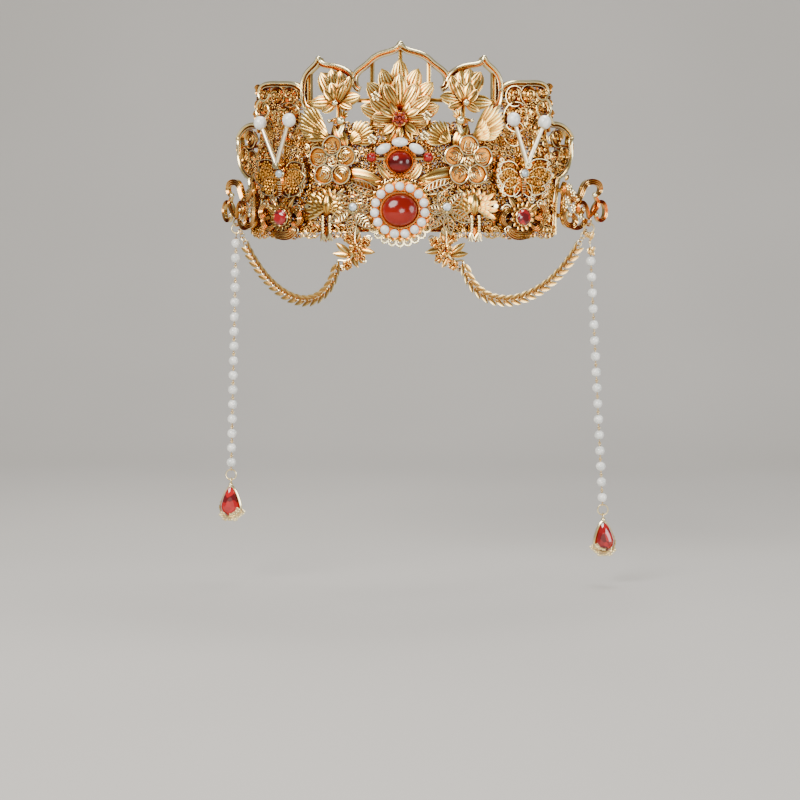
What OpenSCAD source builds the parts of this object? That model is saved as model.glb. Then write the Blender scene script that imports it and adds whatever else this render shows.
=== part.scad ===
// Gold phoenix crown with leaf-chain swags, pearl strands and red drops, worn over the brow.
// Its front faces -Y. The origin is on the inner face of the frame's front, at the lower edge,
// where the crown rests on the hair.

/* [Frame] */
// Radius of the curved frame sheet
ring_r = 95; // [88:1:102]
// How far the frame sheet reaches inwards from that radius
sheet_in = 1.2; // [0.8:0.1:1.6]
// How far the plain ribs and pads reach outwards
sheet_out = 0.8; // [0.6:0.1:1.0]
// How far the arch mouldings reach outwards
moulding_out = 1.5; // [1.3:0.1:1.8]
// How far the narrow ridge on the mouldings reaches outwards
ridge_out = 2.2; // [2.0:0.1:2.6]
// Width of the arch mouldings
moulding_w = 3; // [2.6:0.1:3.4]
// Width of the ribs behind the ornaments
rib_w = 1.8; // [1.4:0.1:2.4]
// Height of the base rim
rim_h = 3; // [2.4:0.2:4]

/* [Ornaments] */
// Thickness of one layer of petals, feathers or leaves
layer = 1; // [0.8:0.1:1.2]
// Distance from the frame radius to the back of the ornaments
back_out = 2.6; // [2.4:0.1:3.2]
// Radius of the hidden posts that carry the ornaments
post_r = 1.1; // [0.9:0.1:1.3]
// Clearance between a post and its pad, or a stone and its setting
seat_gap = 0.2; // [0.1:0.05:0.25]

/* [Stones and pearls] */
// Width of the large oval cabochon
large_w = 17; // [15:0.5:17]
// Width of the small oval cabochon
small_w = 11.4; // [10:0.2:11.6]
// Height of the cabochons divided by their width
oval = 0.9; // [0.86:0.02:1]
// Diameter of the pearls round the large cabochon
ring_pearl_d = 4.2; // [3.8:0.1:4.3]
// Diameter of the round red beads
red_bead_d = 4.6; // [4:0.2:5]
// Diameter of the side stones
side_stone_d = 7; // [6:0.5:7.5]
// Diameter of the feeler pearls
feeler_pearl_d = 6.4; // [5.5:0.1:7]

/* [Strands and chains] */
// Diameter of the strand pearls
strand_pearl_d = 4.8; // [4.4:0.1:4.9]
// Number of pearls on each strand
strand_pearls_n = 16; // [8:1:18]
// Distance from pearl to pearl
strand_pitch = 7.1; // [7.1:0.1:7.3]
// Radius of the chain link wire
link_wire = 0.25; // [0.2:0.05:0.3]
// Wanted distance from link to link of the leaf chain
link_pitch = 2.2; // [2.1:0.1:2.4]
// Width of the red drops
drop_w = 9; // [8:0.2:9.4]
// Length of the red drops
drop_h = 14; // [12:0.5:15]

/* [Hidden] */
$fn = 48;
gold = "#d9a94a";
pearl = "#eef0ee";
agate = "#8a2a16";
ruby = "#b01522";
glass = "#e8eef2";
left = 1;
right = 0;

// Heights and places along the sheet, measured as [arc length from the front, height]
plaque_at = [0, 9.8];
small_at = [0, 31.8];
bud_at = [28.8, 59.5];
flower_at = [29.6, 32.2];
butterfly_at = [57.6, 24];
flower_out = back_out + 2.8;
plaque_out = back_out + 1.4;
sprig_out = back_out + 3.9;
side_at = [57.9, 7];
bird_at = [33.2, 11.6];
sprig_at = [20, 9.8];
spray_at = [20, -7.8];
lug_s = [81.5, 75.4];
frame_end = 82;

// Curves of the right half: start, two handles and end, as [arc length, height]
arches = [
    [[0, 85], [2.4, 80.6], [9.3, 82.6], [13.7, 77.8]],
    [[13.7, 77.8], [17.2, 74.2], [21.6, 73.5], [21.3, 69]],
    [[21.3, 69], [21.1, 67], [20.6, 65.6], [18.7, 65]],
    [[21.4, 68.4], [22.5, 73], [27.3, 75.2], [32.7, 76]],
    [[32.7, 76], [36, 76.4], [38.2, 77], [38.9, 79.4]],
    [[38.9, 79.4], [39.9, 75], [47.7, 75.5], [47.3, 65]],
    [[47.3, 65], [47.1, 60.5], [46.7, 57.6], [43.2, 56.6]],
    [[47.4, 64.6], [50.1, 69.5], [56.7, 68.8], [62.1, 69.2]],
    [[62.1, 69.2], [67.6, 69.8], [74.8, 70.2], [74.3, 65.4]],
    [[74.3, 65.4], [73.7, 61.4], [68, 61.6], [67.4, 65.2]],
    [[72.4, 62.4], [77.4, 61], [77.4, 54.2], [71.9, 54.2]],
    [[71.9, 54.2], [67.4, 54.2], [66.7, 59], [70, 59.8]],
    [[74.8, 55], [77, 53.4], [76.7, 51.2], [78.9, 50.9]],
    [[78.9, 50.9], [83.9, 51.6], [89.9, 49.8], [94.2, 45.4]],
    [[94.2, 45.4], [90.9, 42.6], [94.6, 38.5], [92.2, 34.5]],
    [[92.2, 34.5], [90.8, 30.5], [87.2, 27.6], [82.8, 26]],
    [[82.8, 26], [80.4, 18], [79.8, 8], [80.2, -0.8]]];

// Upright and slanting ribs behind the ornaments: start and end
ribs = [
    [[13, 0.5], [13, 77]], [[29, 0.5], [29, 75.4]], [[44, 0.5], [44, 73]], [[58, 0.5], [58, 69]],
    [[71, 0.5], [71, 54.2]], [[21, 0.5], [21, 20]], [[57, 31.8], [69, 30]], [[69, 30], [79, 29.4]],
    [[78.6, 29.4], [88, 28.6]]];

// Level ribs: height and the arc length where they end
hoops = [[20, 80], [41, 92.6], [60, 71], [8, 79.4]];

// Cloud scrolls: centre and outer radius
clouds = [
    [[54.5, 62.6], 4.1], [[62.3, 63.6], 3.8], [[55.6, 53], 6.4], [[65.6, 54.2], 4],
    [[54.5, 45.4], 5.2], [[70.4, 47.2], 5.8], [[82.4, 44.4], 3.8], [[87.4, 36], 3.6],
    [[80.7, 34.8], 3.4], [[70.4, 36.2], 5.5]];

// Pads that the posts of the ornaments land on
pads = [
    [0, 52], [0, 70], [29, 61], [29, 41], [13, 41], [29, 32], [58, 31.8], [58, 20], [0, 5],
    [13, 20], [44, 12], [29, 12], [58, 7], [13, 9], [21, 12]];

function turn_of(s) = s / ring_r * 180 / PI;

function bezier(c, t) =
    c[0] * pow(1 - t, 3) + 3 * c[1] * t * pow(1 - t, 2) + 3 * c[2] * t * t * (1 - t) + c[3] * pow(t, 3);

function curve(c, steps = 6) = [for (i = [0:steps]) bezier(c, i / steps)];

// The same points with both ends drawn out a little, so that joined curves overlap
function stretched(p) = let (n = len(p) - 1, a = p[0] - p[1], b = p[n] - p[n - 1])
    concat([p[0] + a / norm(a) * 0.5], [for (i = [1:n - 1]) p[i]], [p[n] + b / norm(b) * 0.5]);

function spiral(c, r, turns = 1.4, steps = 12) =
    [for (i = [0:steps])
        let (t = i / steps, a = 360 * turns * t) c + r * (1 - 0.72 * t) * [cos(a), sin(a)]];

function side_of(p, i) =
    let (d = p[min(i + 1, len(p) - 1)] - p[max(i - 1, 0)]) [-d[1], d[0]] / norm(d);

// A band of even width along points
module band(p, w, shift = 0) {
    last = len(p) - 1;
    polygon(concat(
        [for (i = [0:last]) p[i] + side_of(p, i) * (shift + w / 2)],
        [for (i = [last:-1:0]) p[i] + side_of(p, i) * (shift - w / 2)]));
}

// The same band with a round knot at each end
module knotted_band(p, w) {
    band(p, w);
    for (end = [p[0], p[len(p) - 1]]) translate(end) circle(r = w / 2 + 0.12, $fn = 24);
}

// A pointed leaf, feather or petal that grows from the origin along +Y
module leaf(length, width) {
    r = (length * length + width * width) / (4 * width);
    translate([0, length / 2]) intersection() {
        translate([r - width / 2, 0]) circle(r);
        translate([width / 2 - r, 0]) circle(r);
    }
}

// A fan of leaves: each row is angle, length and width
module fan(rows) {
    for (k = [0:len(rows) - 1]) {
        root = 0.4 + 0.17 * k;
        rotate(rows[k][0]) translate([0, -root]) leaf(rows[k][1] + root, rows[k][2]);
    }
}

// A ring outline
module ring(r, w) {
    difference() {
        circle(r);
        circle(r - w);
    }
}

// A round wire bent into a closed ring, lying in the XY plane
module wire_ring(r, w) {
    rotate_extrude($fn = 32) translate([r, 0]) circle(w, $fn = 16);
}

// Places a flat ornament on the crown: X runs to the right, Y upwards and Z outwards
module on_crown(at, out = 0) {
    rotate([0, 0, turn_of(at[0])]) translate([0, -ring_r - out, at[1]])
        rotate([90, 0, 0]) children();
}

// Draws the right-hand form, or its mirror image on the left
module on_side(side) {
    mirror([side, 0, 0]) children();
}

// A hidden post that stands over a pad of the frame
module post(at, reach, foot = sheet_out) {
    on_crown(at, foot + seat_gap) cylinder(r = post_r, h = reach - foot - seat_gap, $fn = 24);
}

// A flat layer of an ornament
module plate(out = 0, thick = layer) {
    translate([0, 0, out]) linear_extrude(thick) children();
}

// A grain of granulation that sits half sunk on a plate
module grain(at, r, out) {
    translate([at[0], at[1], out]) sphere(r, $fn = 20);
}

// One stretch of the frame's openwork: a band along a curve, upright on the sheet
module strip(p, w, low, high, shift = 0) {
    mid = (min([for (q = p) q[0]]) + max([for (q = p) q[0]])) / 2;
    on_crown([mid, 0], low) linear_extrude(high - low) translate([-mid, 0]) band(p, w, shift);
}

// A level bar round the sheet, from low to high, over an angle on both sides of the front
module hoop(z, height, s_end, low, high) {
    a = turn_of(s_end);
    rotate([0, 0, -90 - a]) rotate_extrude(angle = 2 * a, $fn = 180)
        translate([ring_r + low, z - height / 2]) square([high - low, height]);
}

module crown_frame() color(gold) {
    hoop(rim_h / 2, rim_h, frame_end, -sheet_in, moulding_out);
    for (h = hoops) hoop(h[0], rib_w, h[1], -sheet_in, sheet_out);
    for (side = [right, left]) on_side(side) half_frame(side);
    strip([[0, 0.5], [0, 84]], rib_w, -sheet_in, sheet_out);
}

module half_frame(side) {
    for (c = arches) {
        p = stretched(curve(c));
        strip(p, moulding_w, -sheet_in, moulding_out);
        strip(p, moulding_w * 0.36, moulding_out - 0.4, ridge_out, moulding_w * 0.2);
    }
    for (r = ribs) strip(r, rib_w, -sheet_in, sheet_out);
    for (c = clouds) strip(spiral(c[0], c[1]), 1.2, -sheet_in * 0.8, moulding_out - 0.3);
    for (at = concat(pads, [[lug_s[side], 8], [lug_s[side], 20]]))
        on_crown(at, -sheet_in) cylinder(r = post_r + 1.2, h = sheet_in + sheet_out, $fn = 24);
}

module lotus_centre() color(gold) {
    on_crown([0, 51], back_out) {
        plate(0) fan([[0, 27.5, 9], [20, 24.5, 8.5], [-20, 24.5, 8.5], [42, 22.5, 8.5],
            [-42, 22.5, 8.5], [72, 19, 8], [-72, 19, 8], [100, 12.6, 6], [-100, 12.6, 6]]);
        plate(layer * 0.9) fan([[0, 20, 9], [26, 18.5, 8], [-26, 18.5, 8], [54, 17, 7.5],
            [-54, 17, 7.5], [86, 13, 6], [-86, 13, 6]]);
        translate([0, 4]) plate(layer * 1.8) fan([[0, 16.5, 7], [30, 13.5, 5.5], [-30, 13.5, 5.5]]);
        plate(layer * 1.8) for (k = [0:4]) rotate(k * 72) translate([0, 4.2]) circle(2.5);
        plate(layer * 1.8, layer * 1.4) circle(3.4);
    }
    post([0, 52], back_out + layer);
    post([0, 70], back_out + layer);
}

module lotus_beads() color(ruby) on_crown([0, 51], back_out + layer * 3.2 + seat_gap + 0.8) {
    for (k = [0:4]) rotate(k * 72) translate([0, 1.9]) sphere(0.95, $fn = 24);
}

module lotus_bud(side) color(gold) on_side(side) {
    on_crown(bud_at, back_out) {
        plate(0) fan([[0, 13.5, 6], [34, 12.5, 5.5], [-34, 12.5, 5.5], [72, 13, 4.6], [-72, 13, 4.6],
            [108, 8, 3.6], [-108, 8, 3.6]]);
        plate(layer * 0.9) fan([[0, 11, 4.6], [22, 10, 4], [-22, 10, 4]]);
        plate(layer * 0.9, layer * 1.6) circle(2.4);
        for (x = [-7.5, 7.5]) grain([x, 1.6], 1, layer);
    }
    post([29, 61], back_out + 0.6);
}

module phoenix(side) color(gold) on_side(side) {
    // Raised outer wing
    on_crown([32, 42.5], back_out) {
        plate(0) fan([[-26, 17, 5], [-38, 20, 5], [-50, 21, 5], [-62, 19, 5], [-75, 15, 4.6],
            [-90, 10, 4]]);
        plate(layer * 0.9) fan([[-30, 11, 4], [-46, 12, 4], [-62, 11, 4], [-80, 8, 3.6]]);
    }
    // Inner wing spread as a fan
    on_crown([22.5, 40.5], back_out) {
        plate(0) fan([[20, 10.5, 4], [38, 12.5, 4.4], [56, 13, 4.4], [74, 12, 4.2], [92, 10, 4]]);
        plate(layer * 0.9) fan([[30, 7.5, 3.4], [52, 8, 3.4], [76, 7.5, 3.4]]);
    }
    // Body, neck, head, beak and crest
    on_crown([25.5, 40.5], back_out) {
        plate(0, layer * 2.2) translate([-1, -5]) rotate(-24) leaf(15, 7.6);
        plate(0, layer * 2.6) band(curve([[2, 1], [4.4, 4.5], [-0.5, 6], [0.8, 9.6]]), 3.4);
        translate([1, 10.2, layer * 1.45]) rotate([90, 0, 0]) sphere(2.25, $fn = 32);
        plate(0, layer * 2.2) polygon([[2, 11.4], [6, 10.4], [2.4, 9]]);
        plate(0, layer * 1.8) translate([0.4, 11]) fan([[20, 4.6, 1.6], [48, 4.2, 1.6], [-4, 4.2, 1.5]]);
    }
    post([29, 41], back_out + layer);
    post([13, 41], back_out + layer);
}

module plum_flower(side) color(gold) on_side(side) on_crown(flower_at, flower_out) {
    petal_r = 4.6;
    plate(0, layer * 0.8) difference() {
        union() {
            for (k = [0:4]) rotate(k * 72) translate([0, 7.1]) circle(petal_r - 0.2);
            circle(4.5);
        }
        for (k = [0:4], x = [-1.9, 1.9]) rotate(k * 72) translate([x, 7.6]) circle(1.15, $fn = 16);
    }
    for (k = [0:4]) rotate(k * 72) translate([0, 7.1]) plate(0, layer * 1.9) ring(petal_r, 0.9);
    plate(0, layer * 1.6) circle(2.6);
    for (k = [0:3]) rotate(k * 90) grain([1.2, 0], 0.9, layer * 1.6);
    translate([0, 0, sheet_out + seat_gap - flower_out])
        cylinder(r = post_r, h = flower_out - sheet_out, $fn = 24);
}

// Feelers of a butterfly, with a peg at each end for its pearl
feeler_tips = [[-7.6, 27.6], [10.2, 27]];
feeler_foot = [0.4, 7.2];
feeler_out = 5.4;

module butterfly(side) color(gold) on_side(side) {
    on_crown(butterfly_at, back_out) {
        plate(0) fan([[-58, 17.5, 9.5], [-80, 18, 9], [-108, 14, 8.5], [62, 15, 9.5], [84, 14.5, 9],
            [116, 13, 8.5], [150, 9, 5], [-150, 9, 5]]);
        plate(layer * 0.9, layer * 0.7) fan([[-66, 13, 5.5], [-92, 12.5, 5], [70, 11, 5.5], [98, 10.5, 5]]);
        plate(0, layer * 1.5) for (k = [0:5]) {
            rotate(-56 - 10.5 * k) translate([0, 16.4 - 0.55 * k]) ring(1.5, 0.6);
            rotate(58 + 12 * k) translate([0, 13.6 - 0.4 * k]) ring(1.5, 0.6);
        }
        plate(0, layer * 2.4) translate([0, -7]) leaf(15.5, 5);
        translate([0, 3.2, 0]) plate(0, layer * 2.8) ring(2.6, 0.45);
        for (tip = feeler_tips) {
            dir = tip - feeler_foot;
            translate([feeler_foot[0], feeler_foot[1], feeler_out - layer])
                rotate([0, 0, atan2(dir[1], dir[0])]) rotate([0, 90, 0]) {
                    cylinder(r = 1.1, h = norm(dir) - feeler_pearl_d / 2 - seat_gap, $fn = 20);
                    cylinder(r = 0.4, h = norm(dir), $fn = 16);
                }
        }
        translate([feeler_foot[0], feeler_foot[1], 0]) cylinder(r = 2, h = feeler_out, $fn = 24);
    }
    post([58, 31.8], back_out + layer);
    post([58, 20], back_out + layer);
}

module antenna_pearls(side) color(pearl) on_side(side) on_crown(butterfly_at, back_out) {
    for (tip = feeler_tips) {
        dir = tip - feeler_foot;
        translate([tip[0], tip[1], feeler_out - layer]) rotate([0, 0, atan2(dir[1], dir[0])])
            difference() {
                sphere(d = feeler_pearl_d);
                rotate([0, 90, 0]) translate([0, 0, -feeler_pearl_d])
                    cylinder(r = 0.55, h = feeler_pearl_d + 0.6, $fn = 16);
            }
    }
}

// Centres of the pearls round the large cabochon
pearl_ring_r = 11.55;
pearl_ring_n = 15;
function ring_pearl_at(k) =
    let (a = 90 + 360 * k / pearl_ring_n) pearl_ring_r * [cos(a), 0.94 * sin(a)];

// An oval outline, a little lower than it is wide
module oval_outline(width) {
    side_r = width * 0.66;
    intersection() {
        circle(d = width);
        translate([0, side_r - width * oval / 2]) circle(side_r);
        translate([0, width * oval / 2 - side_r]) circle(side_r);
    }
}

// A domed oval stone on a flat back
module cabochon(width, height) {
    dome_r = (width * width / 4 + height * height) / (2 * height);
    intersection() {
        translate([0, 0, height - dome_r]) sphere(dome_r, $fn = 160);
        linear_extrude(height + 1) oval_outline(width - 0.1);
    }
}

// The wall that holds an oval cabochon
module oval_bezel(width, wall, depth) {
    linear_extrude(depth) difference() {
        oval_outline(width + 2 * (wall + seat_gap));
        oval_outline(width + 2 * seat_gap);
    }
}

module centre_plaque() color(gold) {
    on_crown(plaque_at, plaque_out) {
        plate(0) difference() {
            union() {
                circle(13.9);
                for (k = [-4:4]) rotate(180 + 16 * k) translate([0, 14.8]) circle(2.7);
            }
            for (k = [-4:4]) rotate(180 + 16 * k) translate([0, 15.2]) circle(1.4, $fn = 20);
        }
        oval_bezel(large_w, 0.5, layer + 2);
        for (k = [0:pearl_ring_n - 1])
            translate(concat(ring_pearl_at(k), [0])) {
                cylinder(r = 0.45, h = layer + seat_gap + ring_pearl_d * 0.6, $fn = 16);
            }
    }
    post([0, 5], plaque_out + 0.6);
    for (s = [-12.4, 12.4]) post([s, 9], plaque_out + 1);
}

module large_cabochon() color(agate)
    on_crown(plaque_at, plaque_out) translate([0, 0, layer + seat_gap]) cabochon(large_w, 5.2);

module ring_pearls() color(pearl) on_crown(plaque_at, plaque_out) {
    for (k = [0:pearl_ring_n - 1])
        translate(concat(ring_pearl_at(k), [layer + seat_gap + ring_pearl_d / 2])) difference() {
            sphere(d = ring_pearl_d, $fn = 32);
            translate([0, 0, -ring_pearl_d]) cylinder(r = 0.6, h = ring_pearl_d * 1.2, $fn = 16);
        }
}

// Rice pearls and red beads above the small cabochon: place and turn
rice_rows = [[[-7.6, 37.6], 28], [[0, 40.6], 0], [[7.6, 37.6], -28]];
rice_r = 2.15;
rice_len = 7.4;
red_bead_at = [12.9, 33.7];

module small_setting() color(gold) {
    on_crown(small_at, back_out) {
        plate(0) {
            circle(7.6);
            for (row = rice_rows) translate(row[0] - small_at) circle(2.6);
            for (side = [1, -1]) {
                translate([side * red_bead_at[0], red_bead_at[1] - small_at[1]]) circle(2.6);
                band([[side * 6, 1.5], [side * red_bead_at[0], red_bead_at[1] - small_at[1]]], 3);
                translate([side * 3, -9]) rotate(side * -40) leaf(11, 5);
            }
            band([[-7.4, -9.6], [7.4, -9.6]], 3);
            band([[0, -10.4], [0, 0]], 3.4);
        }
        oval_bezel(small_w, 0.6, layer + 1.6);
        for (row = rice_rows) translate(concat(row[0] - small_at, [0]))
            cylinder(r = 0.45, h = layer + seat_gap + rice_r * 1.2, $fn = 16);
        for (side = [1, -1])
            translate([side * red_bead_at[0], red_bead_at[1] - small_at[1], 0])
                cylinder(r = 0.45, h = layer + seat_gap + red_bead_d * 0.6, $fn = 16);
    }
    for (side = [left, right]) on_side(side) {
        on_crown([15, 24], back_out) plate(0) translate([-9.6, -4.2]) rotate(-66) leaf(24, 7.5);
        post([13, 20], back_out + layer * 0.6);
    }
}

module small_cabochon() color(agate)
    on_crown(small_at, back_out) translate([0, 0, layer + seat_gap]) cabochon(small_w, 4);

module rice_pearls() color(pearl) on_crown(small_at, back_out) {
    for (row = rice_rows)
        translate(concat(row[0] - small_at, [layer + seat_gap + rice_r])) rotate(row[1]) difference() {
            rotate([0, 90, 0]) {
                cylinder(r = rice_r, h = rice_len - 2 * rice_r, center = true, $fn = 32);
                for (z = [-1, 1]) translate([0, 0, z * (rice_len / 2 - rice_r)]) sphere(rice_r, $fn = 32);
            }
            translate([0, 0, -rice_r * 2]) cylinder(r = 0.6, h = rice_r * 2.4, $fn = 16);
        }
}

module red_beads() color(ruby) on_crown(small_at, back_out) {
    for (side = [1, -1])
        translate([side * red_bead_at[0], red_bead_at[1] - small_at[1], layer + seat_gap + red_bead_d / 2])
            difference() {
                sphere(d = red_bead_d, $fn = 32);
                translate([0, 0, -red_bead_d]) cylinder(r = 0.6, h = red_bead_d * 1.2, $fn = 16);
            }
}

// A small brilliant with a table and a ring of facets
module brilliant(r) {
    cylinder(r1 = r, r2 = r * 0.55, h = r * 0.5, $fn = 10);
}

module crystals() color(glass) for (side = [left, right]) on_side(side) {
    on_crown(butterfly_at, back_out + layer * 2.4 + seat_gap) translate([0, 3.2, 0]) brilliant(1.9);
    on_crown(sprig_at, sprig_out + layer * 0.8 + seat_gap) translate([0, 1.5, 0]) brilliant(1.8);
}

module side_setting(side) color(gold) on_side(side) {
    on_crown(side_at, back_out) {
        plate(0) {
            circle(5.2);
            rotate(-100) leaf(13.5, 5);
            rotate(100) leaf(12, 5);
            translate([-7, -1]) ring(3.4, 1.1);
            translate([9.4, 3]) ring(3.2, 1.1);
            translate([4, 4]) rotate(-60) leaf(9, 3.4);
        }
        difference() {
            cylinder(d = side_stone_d + 2 * (seat_gap + 0.6), h = layer + 1.4);
            translate([0, 0, layer]) cylinder(d = side_stone_d + 2 * seat_gap, h = 2);
        }
    }
    post([58, 7], back_out + layer);
}

module side_stone(side) color(ruby) on_side(side)
    on_crown(side_at, back_out + layer + seat_gap)
        cylinder(d1 = side_stone_d, d2 = side_stone_d * 0.6, h = 2.2, $fn = 12);

module lower_bird(side) color(gold) on_side(side) {
    on_crown(bird_at, back_out) {
        // Body laid across, with three rows of feathers and a raised tail
        plate(0) fan([[-96, 14, 7.6], [96, 10.4, 7], [-70, 12.6, 7], [-46, 11, 6], [62, 10, 5.5],
            [125, 9, 5]]);
        plate(layer * 0.9) fan([[-88, 11, 5], [-60, 10, 4.4], [88, 7.5, 4.4]]);
        plate(0, layer * 2.2) translate([0, -4]) leaf(11, 7);
        // Legs and claws that hang below the rim
        plate(0, layer * 1.4) translate([1.2, 0]) {
            band([[0, -3], [0, -11.5]], 3.2);
            translate([0, -10]) fan([[180, 8.5, 3], [156, 8, 2.4], [204, 8, 2.4]]);
        }
    }
    post([29, 12], back_out + layer);
    post([44, 12], back_out + layer);
}

module leaf_sprig(side) color(gold) on_side(side) {
    on_crown(sprig_at, sprig_out) {
        plate(0, layer * 0.8) {
            difference() {
                union() {
                    translate([0, -1]) rotate(24) leaf(9, 4.8);
                    translate([-1, -1]) rotate(136) leaf(9.4, 5);
                    translate([2, 0]) rotate(-120) leaf(10, 5);
                }
                translate([-1, -1]) rotate(136)
                    for (y = [3.4, 5.4, 7]) translate([0, y]) circle(0.7, $fn = 16);
            }
            circle(3);
        }
        translate([0, 1.5, 0]) plate(0, layer * 1.3) ring(2.6, 0.45);
    }
    post([21, 12], sprig_out + layer * 0.5);
}

// The eye at the foot of each spray, which holds the inner end of the leaf chain
spray_eye = [8.6, -6.6];

module rose_spray(side) color(gold) on_side(side) {
    on_crown(spray_at, back_out) {
        plate(0) {
            translate([0, -0.5]) for (k = [0:4]) rotate(k * 72) translate([0, 2.1]) circle(2.1);
            band(curve([[0, 9.5], [1.4, 4], [-1, 0], [2.6, -4.4]]), 1.6);
            band([[2.6, -4.4], spray_eye + [0, 1.3]], 1.2);
            translate([2, -3]) fan([[-52, 9.5, 3.4], [-84, 9, 3.2], [-150, 6.5, 3], [150, 6, 3]]);
            fan([[60, 9, 3.4], [100, 9.5, 3.4], [20, 6, 3], [-32, 9, 3.2]]);
        }
        plate(0, layer * 1.8) translate([0, -0.5]) circle(1.9);
        translate([0, 8.4, 0]) plate(0) circle(2);
        translate([spray_eye[0], spray_eye[1], layer / 2]) rotate([0, 90, 0]) wire_ring(1.15, 0.4);
    }
    post([20, 1.5], back_out + layer, moulding_out);
}

// End scrolls: a flat plate from the frame's end, turned to face forwards
finial_start = [49, 44];
finial_yaw = [36, 48];
finial_r = 99;
finial_eye = [17, 4.9];
eye_r = 1.7;
eye_wire = 0.45;

// Curves of a finial: start, two handles and end, as [distance from its inner end, height]
finial_curves = [
    [[1.6, 23.8], [2, 17.5], [9, 12.6], [11, 17.2]], [[11, 17.2], [13, 21.6], [13.4, 24], [18, 24.3]],
    [[18, 24.3], [25.6, 24.6], [24.6, 18.8], [20.4, 17.6]], [[20.4, 17.6], [24.4, 13], [19.6, 10.5], [16.6, 7.1]],
    [[18.2, 8.6], [20, 17.4], [27.6, 16.4], [26.6, 9.5]], [[26.6, 9.5], [25.8, 4.2], [20.6, 5.4], [21.4, 8.8]],
    [[16.6, 7.1], [16, 15.8], [9.6, 15.9], [9.4, 12]], [[9.4, 12], [9.2, 8.1], [13.4, 8.3], [13, 11.3]],
    [[1, 17.2], [0.6, 11], [-0.4, 4.2], [4, 3.4]], [[4, 3.4], [9.4, 2.6], [9.6, 8.4], [5, 8.4]],
    [[4, 3.4], [7.5, 1.2], [12.2, 1.6], [15, 6.6]], [[1.6, 23.8], [0.3, 21.4], [0.2, 19.4], [1, 17.2]]];

module at_finial(side) {
    a = finial_start[side];
    translate([finial_r * sin(a), -finial_r * cos(a), 0])
        rotate([0, 0, finial_yaw[side]]) rotate([90, 0, 0]) children();
}

module finial(side) color(gold) on_side(side) {
    at_finial(side) {
        plate(0, layer * 1.5) for (c = finial_curves) knotted_band(curve(c), 2.1);
        plate(0, layer * 1.2) translate([2.6, 8]) circle(r = post_r + 1.6);
        plate(0, layer * 1.2) translate([2.2, 20]) circle(r = post_r + 1.6);
        translate([finial_eye[0], finial_eye[1], layer * 0.75]) rotate([0, 90, 0])
            wire_ring(eye_r, eye_wire);
    }
    for (z = [8, 20]) post([lug_s[side], z], finial_r - ring_r + layer, ridge_out);
}

// Strands: everything hangs from the finial's eye
jump_r = 2.3;
jump_wire = 0.42;
pin_wire = 0.2;
pin_loop_r = 0.55;
top_loop_r = 1.05;
drop_ring_r = 2.5;
last_loop_r = 0.75;
drop_ring_wire = 0.35;
bail_r = 1.25;
bail_wire = 0.35;
link_gap = 0.12;
strand_lean = [3.3, 1.7];
// The right-hand strand hangs lower, from a longer first pin, and its pearls stand wider
first_pin_extra = [9.4, 0.8];
pitch_extra = [0.55, 0];

// How far one ring's centre hangs below another's when they only just stay clear
function hang(r1, w1, r2, w2) = r1 + r2 - w1 - w2 - link_gap;

// The jump ring crosses the eye at a slant, so it hangs a little clear of it
jump_z = 0.15 - hang(eye_r, eye_wire, jump_r, jump_wire);
first_loop_z = jump_z - hang(jump_r, jump_wire, top_loop_r, pin_wire);
nearest_pearl_z = first_loop_z - top_loop_r - pin_wire - strand_pearl_d / 2 - 0.1;
last_loop_drop = strand_pearl_d / 2 + last_loop_r + pin_wire + 0.1;

// Heights on a strand, which hang from the eye one below the other
function first_pearl_z(side) = nearest_pearl_z - first_pin_extra[side];
function pitch_of(side) = strand_pitch + pitch_extra[side];
function loop_drop(side) = (pitch_of(side) - hang(pin_loop_r, pin_wire, pin_loop_r, pin_wire)) / 2;
function last_pearl_z(side) = first_pearl_z(side) - (strand_pearls_n - 1) * pitch_of(side);
function drop_ring_z(side) =
    last_pearl_z(side) - last_loop_drop - hang(last_loop_r, pin_wire, drop_ring_r, drop_ring_wire);
function bail_z(side) = drop_ring_z(side) - hang(drop_ring_r, drop_ring_wire, bail_r, bail_wire);
function drop_z(side) = bail_z(side) - bail_r - 1.9 - drop_h + drop_w / 2;

// A hanging frame under the finial's eye: X runs to the right, Y to the back, Z upwards
module at_strand(side) {
    at_finial(side) translate([finial_eye[0], finial_eye[1], layer * 0.75]) rotate([-90, 0, 0])
        rotate([0, 0, -finial_yaw[side]]) rotate([0, -strand_lean[side], 0]) children();
}

// Loops seen face on and edge on
module face_loop(z, r, w) {
    translate([0, 0, z]) rotate([90, 0, 0]) wire_ring(r, w);
}

module edge_loop(z, r, w) {
    translate([0, 0, z]) rotate([0, 90, 0]) wire_ring(r, w);
}

module strand_pins(side) color(gold) on_side(side) at_strand(side) {
    face_loop(jump_z, jump_r, jump_wire);
    for (k = [0:strand_pearls_n - 1]) {
        z = first_pearl_z(side) - k * pitch_of(side);
        first = k == 0;
        last = k == strand_pearls_n - 1;
        top = first ? first_loop_z - top_loop_r : z + loop_drop(side) - pin_loop_r;
        low = last ? z - last_loop_drop + last_loop_r : z - loop_drop(side) + pin_loop_r;
        translate([0, 0, low - 0.06]) cylinder(r = pin_wire * 0.85, h = top - low + 0.12, $fn = 16);
        if (first) edge_loop(first_loop_z, top_loop_r, pin_wire);
        else face_loop(z + loop_drop(side), pin_loop_r, pin_wire);
        if (last) edge_loop(z - last_loop_drop, last_loop_r, pin_wire);
        else edge_loop(z - loop_drop(side), pin_loop_r, pin_wire);
    }
    face_loop(drop_ring_z(side), drop_ring_r, drop_ring_wire);
}

module strand_pearls(side) color(pearl) on_side(side) at_strand(side) {
    for (k = [0:strand_pearls_n - 1])
        translate([0, 0, first_pearl_z(side) - k * pitch_of(side)]) difference() {
            sphere(d = strand_pearl_d, $fn = 32);
            cylinder(r = pin_wire + 0.12, h = strand_pearl_d + 1, center = true, $fn = 16);
        }
}

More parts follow.
